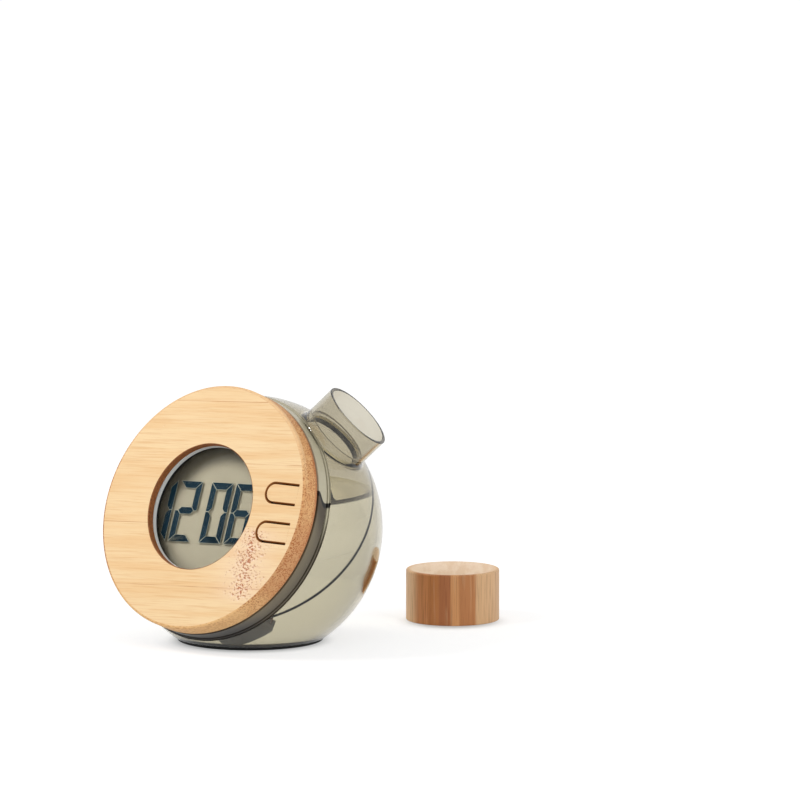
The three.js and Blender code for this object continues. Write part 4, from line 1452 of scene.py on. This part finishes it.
cameraView = {
    "eye": (1.5658, -1.9049, 0.4124), "azimuth": 38.166, "elevation": 7.525, "lens": 311.75, "sensor": 36.0,
    "near": 0.05, "far": 50.0,
}
light = {
    "sky": 0.6, "floorSize": 6.0, "floorShade": 0.47, "floorGlow": 0.67, "floorBounce": 0.8,
    "farGlow": 0.07, "farSpan": (150, 700), "shadeTint": (0.94, 0.99, 1.0, 1), "shades": {
        "cap": {"shift": 6.0, "inset": 5.0, "reach": 12.0, "depth": 0.45},
        "base": {"shift": 3.0, "inset": 2.0, "reach": 9.0, "depth": 0.32},
    },
    "lamps": {
        "key": {"from": (-0.60, -0.70, 0.93), "distance": 0.8, "size": 0.26, "power": 2.42},
        "fill": {"from": (1.0, -0.1, 0.35), "distance": 0.9, "size": 0.5, "power": 2.4},
    },
}


def makeCamera():
    data = bpy.data.cameras.new("camera")
    data.lens, data.sensor_width = cameraView["lens"], cameraView["sensor"]
    data.clip_start, data.clip_end = cameraView["near"], cameraView["far"]
    camera = addObject("camera", data)
    a, e = math.radians(cameraView["azimuth"]), math.radians(cameraView["elevation"])
    back = Vector((math.sin(a) * math.cos(e), -math.cos(a) * math.cos(e), math.sin(e)))
    right = Vector((math.cos(a), math.sin(a), 0))
    turn = Matrix((right, back.cross(right), back)).transposed()
    camera.matrix_world = Matrix.Translation(cameraView["eye"]) @ turn.to_4x4()
    bpy.context.scene.camera = camera


# 1 where a camera, mirror or glass looks, 0 for light that falls on things
def seenFactor(owner):
    path = addNode(owner, "ShaderNodeLightPath").outputs
    either = calc("MAXIMUM", path["Is Camera Ray"], path["Is Glossy Ray"])
    return calc("MAXIMUM", either, path["Is Transmission Ray"])


def makeWorld():
    world = bpy.data.worlds.new("studio")
    bpy.context.scene.world = world
    world.use_nodes = True
    sky = world.node_tree.nodes["Background"]
    level = addNode(world, "ShaderNodeMapRange", {
        "Value": seenFactor(world), "To Min": light["sky"], "To Max": 1.0,
    })
    sky.inputs["Color"].default_value = (1, 1, 1, 1)
    world.node_tree.links.new(level.outputs[0], sky.inputs["Strength"])


def makeFloor():
    material, here = newMaterial("studio floor")
    spots = {"cap": (capPlace.translation / mm, cap["radius"]), "base": (Vector(), footRadius)}
    # Painted shadows on the floor: soft, bluish dark spots under the cap and round the base, moved to the
    # near side
    near = 0.0
    for name, (centre, radius) in spots.items():
        spot = light["shades"][name]
        away = vectorCalc("DISTANCE", here, centre + nearSide * spot["shift"])
        edge = radius - spot["inset"]
        under = ramp(away, edge + spot["reach"], edge)
        near = calc("ADD", times(times(under, under), spot["depth"]), near)
    lift = times(ramp(vectorCalc("LENGTH", here), *light["farSpan"]), light["farGlow"])
    glow = addNode(material, "ShaderNodeEmission", {
        "Color": blendColour(near, (1, 1, 1, 1), light["shadeTint"]),
        "Strength": calc("ADD", minus(light["floorGlow"], near), lift),
    })
    shade, bounce = (
        addNode(material, "ShaderNodeBsdfDiffuse", {"Color": (light[name],) * 3 + (1,)})
        for name in ("floorShade", "floorBounce")
    )
    seen = addNode(material, "ShaderNodeAddShader", {0: shade.outputs[0], 1: glow.outputs[0]})
    mix = addNode(material, "ShaderNodeMixShader", {
        0: seenFactor(material), 1: bounce.outputs[0], 2: seen.outputs[0],
    })
    addNode(material, "ShaderNodeOutputMaterial", {"Surface": mix.outputs[0]})
    half = light["floorSize"] / 2
    corners = [(-half, -half, 0), (half, -half, 0), (half, half, 0), (-half, half, 0)]
    mesh = bpy.data.meshes.new("floor")
    mesh.from_pydata(corners, [], [(0, 1, 2, 3)])
    mesh.materials.append(material)
    addObject("floor", mesh)


def makeLamp(name, lamp):
    data = bpy.data.lights.new(name, "AREA")
    data.shape, data.size, data.energy = "DISK", lamp["size"], lamp["power"]
    made = addObject(name, data)
    made.visible_transmission = False
    made.visible_glossy = name == "key"
    toward = Vector(lamp["from"]).normalized()
    made.location = ballPlace.translation + toward * lamp["distance"]
    made.rotation_euler = toward.to_track_quat("Z", "Y").to_euler()


makeCamera()
makeWorld()
makeFloor()
for lampName, lamp in light["lamps"].items():
    makeLamp(lampName, lamp)
bpy.context.scene.view_settings.view_transform = "Standard"
print("camera, floor and light set")
